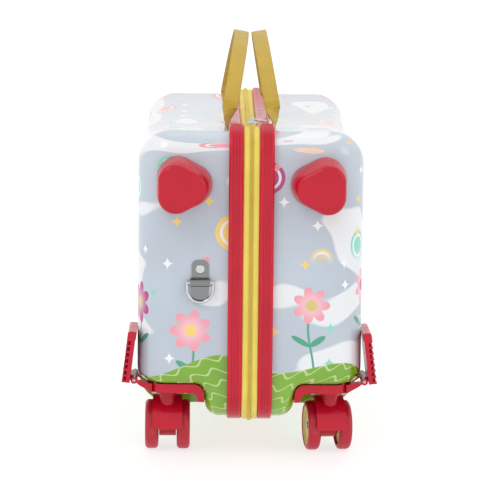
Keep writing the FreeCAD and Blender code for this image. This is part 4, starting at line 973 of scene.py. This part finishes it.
class SUITCASE_OT_stage(bpy.types.Operator):
    """Lays the floor and sets the light and the camera"""
    bl_idname = "suitcase.stage"
    bl_label = "Stage"

    def execute(self, context):
        self.floor(context.scene)
        self.light(context.scene)
        self.camera(context.scene)
        context.scene.view_settings.view_transform = "Standard"
        return {"FINISHED"}

    def floor(self, scene):
        """A flat square far larger than the case, with a little light of its own."""
        half, lines = 40, 9
        grid = np.linspace(-half, half, lines)
        points = np.stack(np.meshgrid(grid, grid, [0.0], indexing="ij"), axis=-1).reshape(1, lines, lines, 3)
        g = Graph("floor", roughness=0.6, emission_strength=0.7)
        pale = g.mix(g.noise(g.place(), 2.0), (0.30, 0.30, 0.30), (0.32, 0.32, 0.32))
        g.feed(g.shader.inputs["Emission Color"], (1, 1, 1))
        piece = bpy.data.objects.new("floor", grid_mesh("floor", points))
        scene.collection.objects.link(piece)
        piece.data.materials.append(g.surface(pale))

    def light(self, scene):
        """A white room, a key lamp, a fill lamp and a faint top lamp, all turned to the case."""
        world = bpy.data.worlds.new("studio")
        world.use_nodes = True
        sky = world.node_tree.nodes["Background"]
        sky.inputs["Color"].default_value = (1, 1, 1, 1)
        sky.inputs["Strength"].default_value = 1.0
        scene.world = world
        target = Vector((0, 0, 0.2))
        lamps = (("key", (-1.5, -2.0, 2.4), 1.2, 14),
                 ("fill", (2.0, -1.6, 1.2), 1.4, 6),
                 ("top", (0.1, 0.5, 2.4), 1.4, 2))
        for name, place, size, power in lamps:
            light = bpy.data.lights.new(name, "AREA")
            light.shape = "DISK"
            light.size = size
            light.energy = power
            lamp = bpy.data.objects.new(name, light)
            lamp.location = place
            lamp.rotation_euler = (target - Vector(place)).to_track_quat("-Z", "Y").to_euler()
            scene.collection.objects.link(lamp)

    def camera(self, scene):
        """A long lens in front of the case, a little to its left and above it, looking down at it."""
        look_down, look_right, roll = 0.1353, 0.0194, 0.0108
        lens = bpy.data.cameras.new("camera")
        lens.sensor_width = 36
        lens.lens = 180
        lens.clip_end = 100
        eye = bpy.data.objects.new("camera", lens)
        eye.location = (-0.0485, -2.658, 0.545)
        eye.rotation_euler = (math.pi / 2 - look_down, 0.0, -look_right)
        eye.rotation_euler.rotate_axis("Z", roll)
        scene.collection.objects.link(eye)
        scene.camera = eye


class SUITCASE_PT_panel(bpy.types.Panel):
    """Sizes, colours and operators of the suitcase"""
    bl_label = "Ride-on suitcase"
    bl_idname = "SUITCASE_PT_panel"
    bl_space_type = "VIEW_3D"
    bl_region_type = "UI"
    bl_category = "Suitcase"

    def draw(self, context):
        for step in STEPS:
            self.layout.operator(step.bl_idname)
        for group in (context.scene.suitcase_sizes, context.scene.suitcase_colours):
            column = self.layout.column()
            for name in group.bl_rna.properties.keys():
                if name not in ("rna_type", "name"):
                    column.prop(group, name)


STEPS = (SUITCASE_OT_stage, SUITCASE_OT_shells, SUITCASE_OT_mouldings, SUITCASE_OT_wheels, SUITCASE_OT_metal,
         SUITCASE_OT_zip, SUITCASE_OT_handles, SUITCASE_OT_linings)
CLASSES = (SuitcaseSizes, SuitcaseColours, *STEPS, SUITCASE_PT_panel)


def register():
    for item in CLASSES:
        bpy.utils.register_class(item)
    bpy.types.Scene.suitcase_sizes = PointerProperty(type=SuitcaseSizes)
    bpy.types.Scene.suitcase_colours = PointerProperty(type=SuitcaseColours)


def unregister():
    del bpy.types.Scene.suitcase_colours
    del bpy.types.Scene.suitcase_sizes
    for item in reversed(CLASSES):
        bpy.utils.unregister_class(item)


def main():
    """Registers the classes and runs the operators."""
    register()
    bpy.ops.suitcase.stage()
    bpy.ops.suitcase.shells()
    bpy.ops.suitcase.mouldings()
    bpy.ops.suitcase.wheels()
    bpy.ops.suitcase.metal()
    bpy.ops.suitcase.zip()
    bpy.ops.suitcase.handles()
    bpy.ops.suitcase.linings()


if __name__ == "__main__":
    main()
